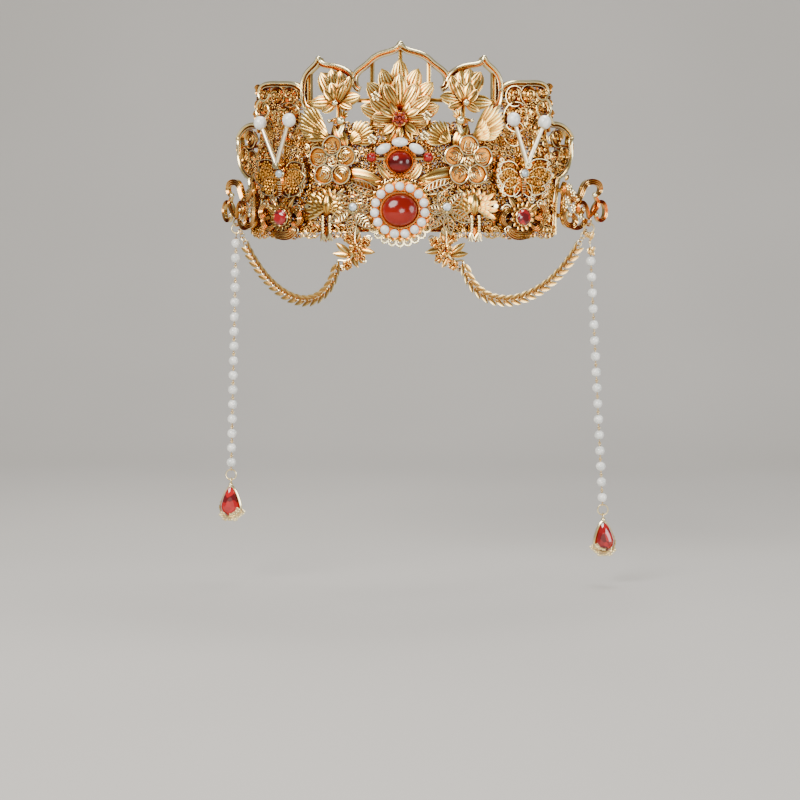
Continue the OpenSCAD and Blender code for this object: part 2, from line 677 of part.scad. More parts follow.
// Outline of a drop: a round foot that narrows to the top
drop_sides = 12;
function drop_outline(w, h) = [for (k = [0:drop_sides - 1])
    let (a = 360 * k / drop_sides - 90, c = cos(a), s = sin(a))
        [w / 2 * c * (1 - 0.34 * max(0, s)), s < 0 ? w / 2 * s : (h - w / 2) * s]];

module drop_stone(side) color(ruby) on_side(side) at_strand(side)
    translate([0, 0, drop_z(side)]) rotate([90, 0, 0]) hull() {
        translate([0, 0, -0.25]) linear_extrude(0.5) polygon(drop_outline(drop_w, drop_h));
        translate([0, 0, 1.8]) linear_extrude(0.1) polygon(drop_outline(drop_w * 0.55, drop_h * 0.6));
        translate([0, 0, -2]) linear_extrude(0.1) polygon(drop_outline(drop_w * 0.3, drop_h * 0.3));
    }

module drop_setting(side) color(gold) on_side(side) at_strand(side) {
    edge_loop(bail_z(side), bail_r, bail_wire);
    translate([0, 0, bail_z(side) - bail_r - 0.7]) sphere(1.1, $fn = 24);
    translate([0, 0, drop_z(side)]) rotate([90, 0, 0]) {
        translate([0, 0, -0.9]) linear_extrude(1.8) difference() {
            polygon(drop_outline(drop_w + 1.8, drop_h + 1.6));
            polygon(drop_outline(drop_w + 0.5, drop_h + 0.5));
        }
        for (k = [-2:2]) rotate(25 * k) translate([0, -drop_w / 2 - 1.9]) {
            translate([0, 0, -0.9]) linear_extrude(2.2) ring(1.5, 0.7);
            translate([0, 0, 0.6]) sphere(0.95, $fn = 20);
        }
    }
}

// Leaf chain: hangs from the inner side of the jump ring to the eye of the rose spray
chain_hold = [-1.85, -1.37];
chain_samples = 120;
plain_links = 4;

// The chain's inner end, on the right-hand side
chain_in_a = turn_of(spray_at[0]);
chain_in_r = ring_r + back_out + layer / 2;
chain_in = [
    chain_in_r * sin(chain_in_a) + spray_eye[0] * cos(chain_in_a),
    -chain_in_r * cos(chain_in_a) + spray_eye[0] * sin(chain_in_a), spray_at[1] + spray_eye[1]];

function chain_out(side) = let (a = finial_start[side], u = finial_eye[0], y = finial_yaw[side])
    [finial_r * sin(a) + u * cos(y) + layer * 0.75 * sin(y) + chain_hold[0],
    -finial_r * cos(a) + u * sin(y) - layer * 0.75 * cos(y)];

// Points along the chain: way along it, share of the curve
function way_along(p) = [for (i = 0, s = 0; i <= chain_samples;
    s = s + (i < chain_samples ? norm(p[i + 1] - p[i]) : 0), i = i + 1) [s, i / chain_samples]];

module leaf_chain(side) color(gold) on_side(side) {
    flat = [chain_out(side)[0] - chain_in[0], chain_out(side)[1] - chain_in[1]];
    span = norm(flat);
    rise = finial_eye[1] + jump_z + chain_hold[1] - 0.25 - chain_in[2];
    path = [[0.2, -1.55], [span * 0.12, -27], [span - 20, rise - 37], [span - 0.15, rise]];
    along = way_along(curve(path, chain_samples));
    length = along[chain_samples][0];
    n = 2 * round(length / link_pitch / 2) + 1;
    pitch = length / n;
    link_r = pitch / 2 + link_wire + link_gap / 2;
    translate(chain_in) rotate([0, 0, atan2(flat[1], flat[0])]) rotate([90, 0, 0]) for (k = [0:n]) {
        t = lookup(k * pitch, along);
        d = bezier(path, min(1, t + 0.01)) - bezier(path, max(0, t - 0.01));
        leafy = k < n * 0.3 || (k > n * 0.55 && k < n - plain_links);
        translate(bezier(path, t)) rotate(atan2(d[1], d[0])) {
            if (k % 2 == 1) rotate([90, 0, 0]) wire_ring(link_r, link_wire);
            else translate([0, 0, -link_wire]) linear_extrude(2 * link_wire) {
                ring(link_r + link_wire, 2 * link_wire);
                if (leafy) for (v = [1, -1])
                    translate([-0.9, v * link_r * 0.9]) rotate(-90 + v * 22) leaf(2.7, 1.3);
            }
        }
    }
}

// The modules draw the crown round the Z axis, and this brings its front to the origin
translate([0, ring_r - sheet_in, 0]) {
    crown_frame();
    lotus_centre();
    lotus_bud(left);  // lotus_bud_l
    lotus_bud(right);  // lotus_bud_r
    lotus_beads();
    phoenix(left);  // phoenix_l
    phoenix(right);  // phoenix_r
    lower_bird(left);  // lower_bird_l
    lower_bird(right);  // lower_bird_r
    plum_flower(left);  // plum_flower_l
    plum_flower(right);  // plum_flower_r
    butterfly(left);  // butterfly_l
    butterfly(right);  // butterfly_r
    antenna_pearls(left);  // antenna_pearls_l
    antenna_pearls(right);  // antenna_pearls_r
    centre_plaque();
    large_cabochon();
    ring_pearls();
    small_setting();
    small_cabochon();
    rice_pearls();
    red_beads();
    crystals();
    side_setting(left);  // side_setting_l
    side_setting(right);  // side_setting_r
    side_stone(left);  // side_stone_l
    side_stone(right);  // side_stone_r
    leaf_sprig(left);  // leaf_sprig_l
    leaf_sprig(right);  // leaf_sprig_r
    rose_spray(left);  // rose_spray_l
    rose_spray(right);  // rose_spray_r
    finial(left);  // finial_l
    finial(right);  // finial_r
    leaf_chain(left);  // leaf_chain_l
    leaf_chain(right);  // leaf_chain_r
    strand_pearls(left);  // strand_pearls_l
    strand_pearls(right);  // strand_pearls_r
    strand_pins(left);  // strand_pins_l
    strand_pins(right);  // strand_pins_r
    drop_setting(left);  // drop_setting_l
    drop_setting(right);  // drop_setting_r
    drop_stone(left);  // drop_stone_l
    drop_stone(right);  // drop_stone_r
}
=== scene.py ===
import math
import random

import bmesh
import bpy
from mathutils import Matrix, Vector


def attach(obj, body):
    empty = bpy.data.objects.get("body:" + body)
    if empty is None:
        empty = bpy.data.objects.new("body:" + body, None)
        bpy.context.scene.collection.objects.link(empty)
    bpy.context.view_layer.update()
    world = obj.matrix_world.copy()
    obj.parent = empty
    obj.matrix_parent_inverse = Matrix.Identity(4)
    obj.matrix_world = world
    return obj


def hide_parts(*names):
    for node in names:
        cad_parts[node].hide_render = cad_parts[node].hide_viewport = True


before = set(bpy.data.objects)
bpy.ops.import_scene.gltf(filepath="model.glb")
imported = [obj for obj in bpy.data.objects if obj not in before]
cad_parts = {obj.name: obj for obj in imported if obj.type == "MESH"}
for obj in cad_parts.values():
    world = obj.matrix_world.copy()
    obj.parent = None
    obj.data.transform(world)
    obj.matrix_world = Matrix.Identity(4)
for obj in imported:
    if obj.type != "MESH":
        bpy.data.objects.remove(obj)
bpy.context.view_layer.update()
print("frame loaded")

# Everything below is worked out in millimetres and scaled to metres when a piece is finished
sheet = {"radius": 95.0, "inner": 1.2, "backOut": 2.6, "layer": 1.0}
places = {
    "plaque": (0, 9.8), "small": (0, 31.8), "bud": (28.8, 59.5), "flower": (29.6, 32.2),
    "butterfly": (57.6, 24), "side": (57.9, 7), "bird": (33.2, 11.6), "sprig": (20, 9.8), "spray": (20, -7.8)}
sides = (("r", False), ("l", True))

# Camera and light
view = {"azimuth": 2.5, "elevation": 5.0, "distance": 800.0, "mmPerPixel": 0.46, "pixels": 800}


def moved(x, y, z=0.0):
    return Matrix.Translation((x, y, z))


def turned(degrees, axis="Z"):
    return Matrix.Rotation(math.radians(degrees), 4, axis)


def onCrown(at, out=0.0):
    # local X runs to the right, Y upwards and Z outwards
    return (moved(0, sheet["radius"] - sheet["inner"]) @ turned(math.degrees(at[0] / sheet["radius"]))
            @ moved(0, -sheet["radius"] - out, at[1]) @ turned(90, "X"))


def makeCamera():
    a, e = math.radians(view["azimuth"]), math.radians(view["elevation"])
    ahead = Vector((-math.sin(a) * math.cos(e), math.cos(a) * math.cos(e), -math.sin(e)))
    right = Vector((math.cos(a), math.sin(a), 0))
    up = right.cross(ahead)
    k = view["mmPerPixel"]
    aim = Vector((0, -sheet["inner"], 0))
    spot = aim - ahead * view["distance"] - right * (0.4 * k) - up * (168 * k)
    data = bpy.data.cameras.new("camera")
    data.sensor_width = 36
    data.lens = 36 * view["distance"] / k / view["pixels"]
    camera = bpy.data.objects.new("camera", data)
    bpy.context.scene.collection.objects.link(camera)
    basis = Matrix((right, up, -ahead)).transposed().to_4x4()
    camera.matrix_world = Matrix.Translation(spot * 0.001) @ basis
    bpy.context.scene.camera = camera


def areaLight(name, place, aim, size, power, tint):
    data = bpy.data.lights.new(name, "AREA")
    data.shape = "DISK"
    data.size, data.energy, data.color = size, power, tint
    lamp = bpy.data.objects.new(name, data)
    bpy.context.scene.collection.objects.link(lamp)
    lamp.location = place
    lamp.rotation_euler = (Vector(aim) - Vector(place)).to_track_quat("-Z", "Y").to_euler()


# Materials
def linearColour(text):
    channels = [int(text[i:i + 2], 16) / 255 for i in (1, 3, 5)]
    return [c / 12.92 if c <= 0.04045 else ((c + 0.055) / 1.055) ** 2.4 for c in channels] + [1.0]


def addNode(tree, kind, values=None, links=None, **settings):
    node = tree.nodes.new(kind)
    for key, value in settings.items():
        setattr(node, key, value)
    for key, value in (values or {}).items():
        node.inputs[key].default_value = value
    for key, socket in (links or {}).items():
        tree.links.new(socket, node.inputs[key])
    return node


def newMaterial(name, values):
    material = bpy.data.materials.new(name)
    material.use_nodes = True
    shader = material.node_tree.nodes["Principled BSDF"]
    for key, value in values.items():
        shader.inputs[key].default_value = value
    return material, material.node_tree, shader


def goldMaterial(name, high, mid, low, rough=0.2, grain=0.35, hollows=True):
    # gilt brass: pale on the ridges; the orange-brown in the hollows is painted shade from the recessShade attribute
    # and ambient occlusion, mixed with the patina of the hollows
    material, tree, shader = newMaterial(name, {"Metallic": 1.0})
    place = addNode(tree, "ShaderNodeTexCoord").outputs["Object"]
    depth = addNode(tree, "ShaderNodeAttribute", attribute_name="recessShade").outputs["Fac"]
    # ambient occlusion darkens the base colour where parts crowd together: painted shade
    corner = addNode(tree, "ShaderNodeAmbientOcclusion", {"Distance": 0.0035}, samples=6).outputs["AO"]
    shade = addNode(tree, "ShaderNodeMath", {0: 1.0}, {1: corner}, operation="SUBTRACT").outputs[0]
    deep = addNode(tree, "ShaderNodeMath", {1: 1.25 if hollows else 0.5}, {0: shade}, operation="MULTIPLY").outputs[0]
    both = addNode(tree, "ShaderNodeMath", {1: 0.75}, {0: depth, 2: deep}, operation="MULTIPLY_ADD").outputs[0]
    patches = addNode(tree, "ShaderNodeTexNoise", {"Scale": 160.0, "Detail": 3.0}, {"Vector": place}).outputs["Fac"]  # 6 mm
    mixed = addNode(tree, "ShaderNodeMath", {1: 0.35}, {0: patches, 2: both}, operation="MULTIPLY_ADD").outputs[0]
    # ramp from the ridge colour (high) through mid to the painted shade colour (low) of the hollows
    ramp = addNode(tree, "ShaderNodeValToRGB", links={"Fac": mixed})
    stops = ramp.color_ramp.elements
    stops[0].position, stops[0].color = 0.16, linearColour(high)
    stops[1].position, stops[1].color = 1.0, linearColour(low)
    middle = stops.new(0.5)
    middle.color = linearColour(mid)
    tree.links.new(ramp.outputs["Color"], shader.inputs["Base Color"])
    fine = addNode(tree, "ShaderNodeTexNoise", {"Scale": 1000.0 / grain, "Detail": 2.0}, {"Vector": place}).outputs["Fac"]
    gloss = addNode(tree, "ShaderNodeMapRange", {"To Min": rough * 0.7, "To Max": rough * 1.5}, {"Value": fine})
    tree.links.new(gloss.outputs["Result"], shader.inputs["Roughness"])
    bump = addNode(tree, "ShaderNodeBump", {"Strength": 0.12, "Distance": 0.0001}, {"Height": fine})
    tree.links.new(bump.outputs["Normal"], shader.inputs["Normal"])
    return material


def pearlMaterial():
    # cultured and glass pearl: cool satin white under a clear skin, faintly mottled
    material, tree, shader = newMaterial("pearl nacre", {
        "Roughness": 0.22, "IOR": 1.6, "Coat Weight": 0.6, "Coat Roughness": 0.06,
        "Subsurface Weight": 0.04, "Subsurface Radius": (0.002, 0.002, 0.002), "Subsurface Scale": 0.4})
    place = addNode(tree, "ShaderNodeTexCoord").outputs["Object"]
    mottle = addNode(tree, "ShaderNodeTexNoise", {"Scale": 420.0, "Detail": 2.0}, {"Vector": place}).outputs["Fac"]
    ramp = addNode(tree, "ShaderNodeValToRGB", links={"Fac": mottle})
    ramp.color_ramp.elements[0].position, ramp.color_ramp.elements[0].color = 0.3, linearColour("#c6cac5")
    ramp.color_ramp.elements[1].position, ramp.color_ramp.elements[1].color = 0.7, linearColour("#f2efe8")
    tree.links.new(ramp.outputs["Color"], shader.inputs["Base Color"])
    return material


def agateMaterial(name, dark, mid, pale, scale):
    # polished red agate: cloudy bands under a glassy polish
    material, tree, shader = newMaterial(name, {
        "Roughness": 0.14, "IOR": 1.4, "Coat Weight": 0.2, "Coat Roughness": 0.04, "Subsurface Weight": 0.04,
        "Subsurface Radius": (0.004, 0.001, 0.0006), "Subsurface Scale": 0.5})
    place = addNode(tree, "ShaderNodeTexCoord").outputs["Object"]
    bands = addNode(tree, "ShaderNodeTexWave", {"Scale": scale, "Distortion": 3.5, "Detail": 2.0, "Detail Scale": 1.4},
                    {"Vector": place}, bands_direction="Z")
    ramp = addNode(tree, "ShaderNodeValToRGB", links={"Fac": bands.outputs["Fac"]})
    stops = ramp.color_ramp.elements
    stops[0].position, stops[0].color = 0.1, linearColour(dark)
    stops[1].position, stops[1].color = 0.95, linearColour(pale)
    stops.new(0.55).color = linearColour(mid)
    tree.links.new(ramp.outputs["Color"], shader.inputs["Base Color"])
    return material


def cutStoneMaterial(name, dark, bright, clear, ior):
    # faceted glass stone over foil: saturated, with a painted highlight: random facets of the base colour lifted to a
    # bright flash colour
    material, tree, shader = newMaterial(name, {
        "Roughness": 0.04, "IOR": ior, "Transmission Weight": clear, "Coat Weight": 0.6, "Coat Roughness": 0.02})
    place = addNode(tree, "ShaderNodeTexCoord").outputs["Object"]
    glintCells = addNode(tree, "ShaderNodeTexVoronoi", {"Scale": 330.0}, {"Vector": place}).outputs["Color"]
    glintShare = addNode(tree, "ShaderNodeSeparateColor", links={"Color": glintCells}).outputs["Red"]
    ramp = addNode(tree, "ShaderNodeValToRGB", links={"Fac": glintShare})
    ramp.color_ramp.elements[0].position, ramp.color_ramp.elements[0].color = 0.2, linearColour(dark)
    ramp.color_ramp.elements[1].position, ramp.color_ramp.elements[1].color = 0.85, linearColour(bright)
    tree.links.new(ramp.outputs["Color"], shader.inputs["Base Color"])
    return material


def makeFloorMaterial():
    material, tree, shader = newMaterial("pale matt paper", {"Roughness": 0.8})
    place = addNode(tree, "ShaderNodeTexCoord").outputs["Object"]
    tone = addNode(tree, "ShaderNodeTexNoise", {"Scale": 6.0, "Detail": 1.0}, {"Vector": place}).outputs["Fac"]
    ramp = addNode(tree, "ShaderNodeValToRGB", links={"Fac": tone})
    ramp.color_ramp.elements[0].color, ramp.color_ramp.elements[1].color = linearColour("#aeaaa4"), linearColour("#b6b2ac")
    tree.links.new(ramp.outputs["Color"], shader.inputs["Base Color"])
    return material


# each gold lists its ridge colour, a middle colour and the painted shade colour of its hollows
castGold = goldMaterial("gilt brass, cast", "#fbeebb", "#e3bb5c", "#a04a0c")
wireGold = goldMaterial("gilt brass wire", "#fff3c2", "#ecc468", "#a8520f", 0.17)
# a darker copy of the gilt for the filigree and the plates behind the settings: painted shade that gives them depth
shadedGold = goldMaterial("gilt brass, filigree ground in painted shade", "#f4d488", "#d8922c", "#8e3c06", 0.22)
amberGold = goldMaterial("gilt brass, amber ground", "#eeb552", "#c4701a", "#7c2e05", 0.26)
chainGold = goldMaterial("pale gilt chain", "#ffefbe", "#ecc474", "#a86c2e", 0.28)
ivoryGold = goldMaterial("feeler rod, matt gilt", "#fdf1d3", "#e7cd96", "#a97a3c", 0.34, 0.6, False)
pearlWhite = pearlMaterial()
largeAgate = agateMaterial("red-brown agate", "#6a0a03", "#7c1105", "#861706", 22.0)
smallAgate = agateMaterial("dark red agate", "#460303", "#640606", "#700c06", 40.0)
beadRed = agateMaterial("red glass bead", "#6a0503", "#8c0a05", "#981008", 120.0)
lotusRed = agateMaterial("garnet bead", "#5c140a", "#842210", "#983018", 140.0)
# the second colour of each cut stone is its painted flash of highlight
rubyGlass = cutStoneMaterial("ruby glass, faceted", "#5e0206", "#b40a10", 0.05, 1.6)
crystalGlass = cutStoneMaterial("clear crystal, faceted", "#b4c6cc", "#ffffff", 0.3, 2.2)
print("materials made")


# Shapes
def newShape():
    shape = bmesh.new()
    shape.verts.layers.float.new("recessShade")
    return shape


def keepMesh(shape, name):
    mesh = bpy.data.meshes.new(name)
    shape.to_mesh(mesh)
    shape.free()
    return mesh


def stamp(work, mesh, place, finish=0):
    vertStart, faceStart = len(work.verts), len(work.faces)
    work.from_mesh(mesh)
    work.verts.ensure_lookup_table()
    work.faces.ensure_lookup_table()
    bmesh.ops.transform(work, matrix=place, verts=work.verts[vertStart:])
    for face in work.faces[faceStart:]:
        face.material_index = finish


shelf = {}


def fromShelf(maker):
    def find(*details):
        key = (maker.__name__,) + details
        if key not in shelf:
            shelf[key] = maker(*details)
        return shelf[key]
    return find


@fromShelf
def leafMesh(length, width, ribs=3, relief=0.2, arch=0.5, curl=0.0, thick=0.35, widest=0.45, rows=7, full=0.85):
    # a pointed leaf, feather or petal along +Y with ridges from root to tip
    shape = newShape()
    across = 4 * ribs
    bmesh.ops.create_grid(shape, x_segments=across, y_segments=rows, size=1)
    recessShade = shape.verts.layers.float["recessShade"]
    shape.verts.ensure_lookup_table()
    power = math.log(0.5) / math.log(widest)
    for i, v in enumerate(shape.verts):
        u, t = (i % (across + 1)) / across * 2 - 1, (i // (across + 1)) / rows
        half = width / 2 * math.sin(math.pi * min(1, t ** power)) ** full if 0 < t < 1 else 0.0
        wave = math.cos(math.pi * ribs * (u + 1))
        rise = arch * (1 - u * u) * math.sin(math.pi * t) + relief * (0.5 + 0.5 * wave) * min(1, 4 * (1 - t))
        v.co = (u * half, t * length, rise + curl * t * t)
        # painted shade in the grooves between the ribs and towards the root
        v[recessShade] = max(0.5 - 0.5 * wave, (1 - t) ** 2 * 0.8)
    bmesh.ops.remove_doubles(shape, verts=shape.verts[:], dist=0.001)
    bmesh.ops.recalc_face_normals(shape, faces=shape.faces[:])
    if shape.faces and sum(f.normal.z for f in shape.faces) < 0:
        bmesh.ops.reverse_faces(shape, faces=shape.faces[:])
    bmesh.ops.solidify(shape, geom=shape.faces[:], thickness=thick)
    return keepMesh(shape, "leaf")


@fromShelf
def grainMesh(radius, level=1):
    shape = newShape()
    bmesh.ops.create_icosphere(shape, subdivisions=level, radius=radius)
    return keepMesh(shape, "grain")


@fromShelf
def ballMesh(radius, parts=24):
    shape = newShape()
    bmesh.ops.create_uvsphere(shape, u_segments=parts, v_segments=parts // 2, radius=radius)
    return keepMesh(shape, "ball")


@fromShelf
def postMesh(foot, top, height, parts=20):
    # a round pad, peg or cone that stands on its lower face
    shape = newShape()
    bmesh.ops.create_cone(shape, cap_ends=True, segments=parts, radius1=foot, radius2=top, depth=height)
    bmesh.ops.translate(shape, vec=(0, 0, height / 2), verts=shape.verts[:])
    return keepMesh(shape, "post")


@fromShelf
def ringMesh(radius, wire, parts=14, sides=6):
    shape = newShape()
    points = [(radius * math.cos(a), radius * math.sin(a), 0) for a in spread(0, 2 * math.pi, parts)]
    sweep(shape, points, roundProfile(wire, sides), closed=True)
    return keepMesh(shape, "ring")


@fromShelf
def cutMesh(width, height, table, parts=12, crown=0.45):
    # a faceted stone: table, two rows of facets and a short girdle
    shape = newShape()
    rows = ((table, height), ((table + 1) / 2 + 0.06, height * crown + height * 0.3), (1.0, height * crown), (1.0, height * 0.25), (0.8, 0.0))
    bmesh.ops.create_circle(shape, cap_ends=True, segments=parts, radius=width / 2 * rows[0][0])
    bmesh.ops.translate(shape, vec=(0, 0, rows[0][1]), verts=shape.verts[:])
    face = shape.faces[:]
    edge = shape.edges[:]
    last = shape.verts[:]
    for k, (share, z) in enumerate(rows[1:]):
        made = bmesh.ops.extrude_edge_only(shape, edges=edge)["geom"]
        last = [g for g in made if isinstance(g, bmesh.types.BMVert)]
        edge = [g for g in made if isinstance(g, bmesh.types.BMEdge) and all(v in last for v in g.verts)]
        turn = math.pi / parts if k == 0 else (-math.pi / parts if k == 1 else 0.0)
        for v in last:
            flat = Vector((v.co.x, v.co.y))
            a = math.atan2(flat.y, flat.x) + turn
            v.co = (width / 2 * share * math.cos(a), width / 2 * share * math.sin(a), z)
    bmesh.ops.contextual_create(shape, geom=edge)
    bmesh.ops.triangulate(shape, faces=[f for f in shape.faces if len(f.verts) == 4])
    bmesh.ops.recalc_face_normals(shape, faces=shape.faces[:])
    return keepMesh(shape, "cut stone")


def spread(start, end, steps):
    return [start + (end - start) * i / steps for i in range(steps + 1)]


def roundProfile(radius, sides=6):
    return [(radius * math.cos(a), radius * math.sin(a), 0.0) for a in spread(0, 2 * math.pi, sides)]


def flutedProfile(width, low, high, flutes=3, relief=0.3):
    # across, out and painted shade (recessShade) of a flat bar whose face is grooved
    top = [(-width / 2 + width * i / (4 * flutes), high - relief * (0.5 - 0.5 * math.cos(2 * math.pi * i / 4)),
            0.5 - 0.5 * math.cos(2 * math.pi * i / 4)) for i in range(4 * flutes + 1)]
    return [(-width / 2, low, 0.6)] + top + [(width / 2, low, 0.6), (-width / 2, low, 0.6)]


def bezier(c, steps=8):
    a, b, d, e = [Vector(p) for p in c]
    return [a * (1 - t) ** 3 + b * 3 * t * (1 - t) ** 2 + d * 3 * t * t * (1 - t) + e * t ** 3 for t in spread(0, 1, steps)]


def joined(curves, steps=8):
    points = []
    for c in curves:
        points += bezier(c, steps)[1 if points else 0:]
    return points


def spiral(centre, radius, turns=1.4, steps=20, start=0.0, shrink=0.78, hand=1):
    cx, cy = centre
    return [(cx + radius * (1 - shrink * t) * math.cos(start + hand * 2 * math.pi * turns * t),
             cy + radius * (1 - shrink * t) * math.sin(start + hand * 2 * math.pi * turns * t)) for t in spread(0, 1, steps)]


def sweep(work, path, profile, scale=None, closed=False, place=None, finish=0):
    # carries a profile of (across, out, painted shade) along a path that lies roughly in the XY plane
    points = [Vector((p[0], p[1], p[2] if len(p) > 2 else 0.0)) for p in path]
    if closed and (points[0] - points[-1]).length < 1e-6:
        points = points[:-1]
    n = len(points)
    rows = n if closed else n - 1
    cols = len(profile) - 1
    shape = newShape()
    made = bmesh.ops.create_grid(shape, x_segments=cols, y_segments=rows, size=1)["verts"]
    recessShade = shape.verts.layers.float["recessShade"]
    for i, v in enumerate(made):
        k, j = i % (cols + 1), (i // (cols + 1))
        if closed:
            before, here, after = points[(j - 1) % n], points[j % n], points[(j + 1) % n]
        else:
            before, here, after = points[max(j - 1, 0)], points[j], points[min(j + 1, n - 1)]
        d = Vector((after.x - before.x, after.y - before.y, 0))
        d = d.normalized() if d.length > 1e-9 else Vector((1, 0, 0))
        bend = 1.0
        if 0 < j < n - 1 or closed:
            e = here - before
            e.z = 0
            if e.length > 1e-9:
                bend = 1 / max(0.6, abs(e.normalized().dot(d)))
        size = scale(j / rows) if scale else 1.0
        across, out, low = profile[k]
        v.co = here + Vector((-d.y, d.x, 0)) * (across * bend * size) + Vector((0, 0, out * size))
        v[recessShade] = low
    bmesh.ops.remove_doubles(shape, verts=shape.verts[:], dist=0.0004)
    edges = [e for e in shape.edges if e.is_boundary]
    if edges and not closed:
        bmesh.ops.holes_fill(shape, edges=edges, sides=0)
    bmesh.ops.recalc_face_normals(shape, faces=shape.faces[:])
    mesh = keepMesh(shape, "swept")
    stamp(work, mesh, place or Matrix.Identity(4), finish)
    bpy.data.meshes.remove(mesh)


def wire(work, place, path, radius=0.3, sides=6, finish=0, scale=None, lift=0.0):
    points = [(p[0], p[1], (p[2] if len(p) > 2 else 0.0) + lift) for p in path]
    sweep(work, points, roundProfile(radius, sides), scale=scale, place=place, finish=finish)


def grains(work, place, spots, radius, out, finish=0):
    for x, y in spots:
        stamp(work, grainMesh(radius), place @ moved(x, y, out), finish)


def fan(work, place, spokes, lift=0.0, ribs=3, finish=0, base=0.0, **style):
    # each row is angle, length and width; a positive angle turns the tip to the left
    for k, (angle, length, width) in enumerate(spokes):
        leaf = leafMesh(length, width, style.get("ribsOf", {}).get(k, ribs), style.get("relief", 0.22), style.get("arch", 0.5),
                        style.get("curl", 0.0), style.get("thick", 0.35), style.get("widest", 0.45), style.get("rows", 7), style.get("full", 0.85))
        stamp(work, leaf, place @ turned(angle) @ moved(0, base, lift + 0.03 * (k % 3)), finish)


def smallFlower(work, place, radius=2.2, finish=0, petals=5):
    for k in range(petals):
        stamp(work, grainMesh(radius * 0.42), place @ turned(360 / petals * k) @ moved(0, radius * 0.62, 0.25) @ Matrix.Diagonal((1, 1, 0.55, 1)), finish)
    stamp(work, grainMesh(radius * 0.3), place @ moved(0, 0, radius * 0.32), finish)


def finishPiece(work, name, materials, nodes=(), flipped=False, sharp=38, copyFrom=False):
    shape = work.copy() if copyFrom else work
    if flipped:
        bmesh.ops.scale(shape, vec=(-1, 1, 1), verts=shape.verts[:])
        bmesh.ops.reverse_faces(shape, faces=shape.faces[:])
    bmesh.ops.scale(shape, vec=(0.001, 0.001, 0.001), verts=shape.verts[:])
    mesh = keepMesh(shape, name)
    for material in materials:
        mesh.materials.append(material)
    mesh.shade_smooth()
    mesh.set_sharp_from_angle(angle=math.radians(sharp))
    piece = bpy.data.objects.new(name, mesh)
    bpy.context.scene.collection.objects.link(piece)
    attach(piece, "root")
    for node in nodes:
        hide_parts(node)
    mesh.calc_loop_triangles()
    print(name, len(mesh.loop_triangles), "triangles")
    return piece


def finishPair(work, name, materials, nodes, sharp=38):
    for letter, flipped in sides:
        finishPiece(work, f"{name}_{letter}", materials, [f"{n}_{letter}" for n in nodes], flipped, sharp, copyFrom=True)
    work.free()


def wrapOnCrown(work):
    # turns a piece drawn flat as (arc length, height, outwards) round the head
    for v in work.verts:
        a, r = v.co.x / sheet["radius"], sheet["radius"] + v.co.z
        v.co = (r * math.sin(a), sheet["radius"] - sheet["inner"] - r * math.cos(a), v.co.y)


# Frame: the arches, rim, ribs and cloud scrolls
arches = {
    "runs": [
        [[(0, 85), (2.4, 80.6), (9.3, 82.6), (13.7, 77.8)], [(13.7, 77.8), (17.2, 74.2), (21.6, 73.5), (21.3, 69)],
         [(21.3, 69), (21.1, 67), (20.6, 65.6), (18.7, 65)]],
        [[(21.4, 68.4), (22.5, 73), (27.3, 75.2), (32.7, 76)], [(32.7, 76), (36, 76.4), (38.2, 77), (38.9, 79.4)]],
        [[(38.9, 79.4), (39.9, 75), (47.7, 75.5), (47.3, 65)], [(47.3, 65), (47.1, 60.5), (46.7, 57.6), (43.2, 56.6)]],
        [[(47.4, 64.6), (50.1, 69.5), (56.7, 68.8), (62.1, 69.2)], [(62.1, 69.2), (67.6, 69.8), (74.8, 70.2), (74.3, 65.4)],
         [(74.3, 65.4), (73.7, 61.4), (68, 61.6), (67.4, 65.2)]],
        [[(72.4, 62.4), (77.4, 61), (77.4, 54.2), (71.9, 54.2)], [(71.9, 54.2), (67.4, 54.2), (66.7, 59), (70, 59.8)]],
        [[(74.8, 55), (77, 53.4), (76.7, 51.2), (78.9, 50.9)], [(78.9, 50.9), (83.9, 51.6), (89.9, 49.8), (94.2, 45.4)]],
        [[(94.2, 45.4), (90.9, 42.6), (94.6, 38.5), (92.2, 34.5)], [(92.2, 34.5), (90.8, 30.5), (87.2, 27.6), (82.8, 26)],
         [(82.8, 26), (80.4, 18), (79.8, 8), (80.2, -0.8)]]],
    # the third value of each profile point is its painted shade: the back edges and the inner groove are darker
    "profile": [
        (1.5, -1.2, 0.5), (1.5, 0.7, 0), (1.3, 1.5, 0), (0.95, 2.05, 0), (0.5, 2.25, 0), (0.05, 2.0, 0), (-0.25, 1.4, 0.1),
        (-0.45, 1.0, 0.4), (-0.7, 0.95, 0.4), (-0.85, 1.25, 0.1), (-1.05, 1.5, 0), (-1.3, 1.4, 0), (-1.5, 0.9, 0.1),
        (-1.5, -1.2, 0.5), (1.5, -1.2, 0.5)],
    "ribs": [
        ((13, 0.5), (13, 77)), ((29, 0.5), (29, 75.4)), ((44, 0.5), (44, 73)), ((58, 0.5), (58, 69)), ((71, 0.5), (71, 54.2)),
        ((21, 0.5), (21, 20)), ((57, 31.8), (69, 30)), ((69, 30), (79, 29.4)), ((79, 29.4), (88, 28.6)), ((0, 0.5), (0, 84))],
    "hoops": [(20, 80), (41, 92.6), (60, 71), (8, 79.4)],
    "clouds": [
        ((54.5, 62.6), 4.1), ((62.3, 63.6), 3.8), ((55.6, 53), 6.4), ((65.6, 54.2), 4), ((54.5, 45.4), 5.2),
        ((70.4, 47.2), 5.8), ((82.4, 44.4), 3.8), ((87.4, 36), 3.6), ((80.7, 34.8), 3.4), ((70.4, 36.2), 5.5)],
    "curls": [((75.4, 66.8), 2.7, 0.4), ((75.8, 60.6), 2.9, 1.2), ((76.6, 55.0), 2.5, 0.2), ((94.0, 40.5), 1.6, 0.6)],
    "pads": [
        (0, 52), (0, 70), (29, 61), (29, 41), (13, 41), (29, 32), (58, 31.8), (58, 20), (0, 5), (13, 20), (44, 12), (29, 12),
        (58, 7), (13, 9), (21, 12)],
    "lugs": {"r": 81.5, "l": 75.4}, "end": 82.0, "rim": 3.0}


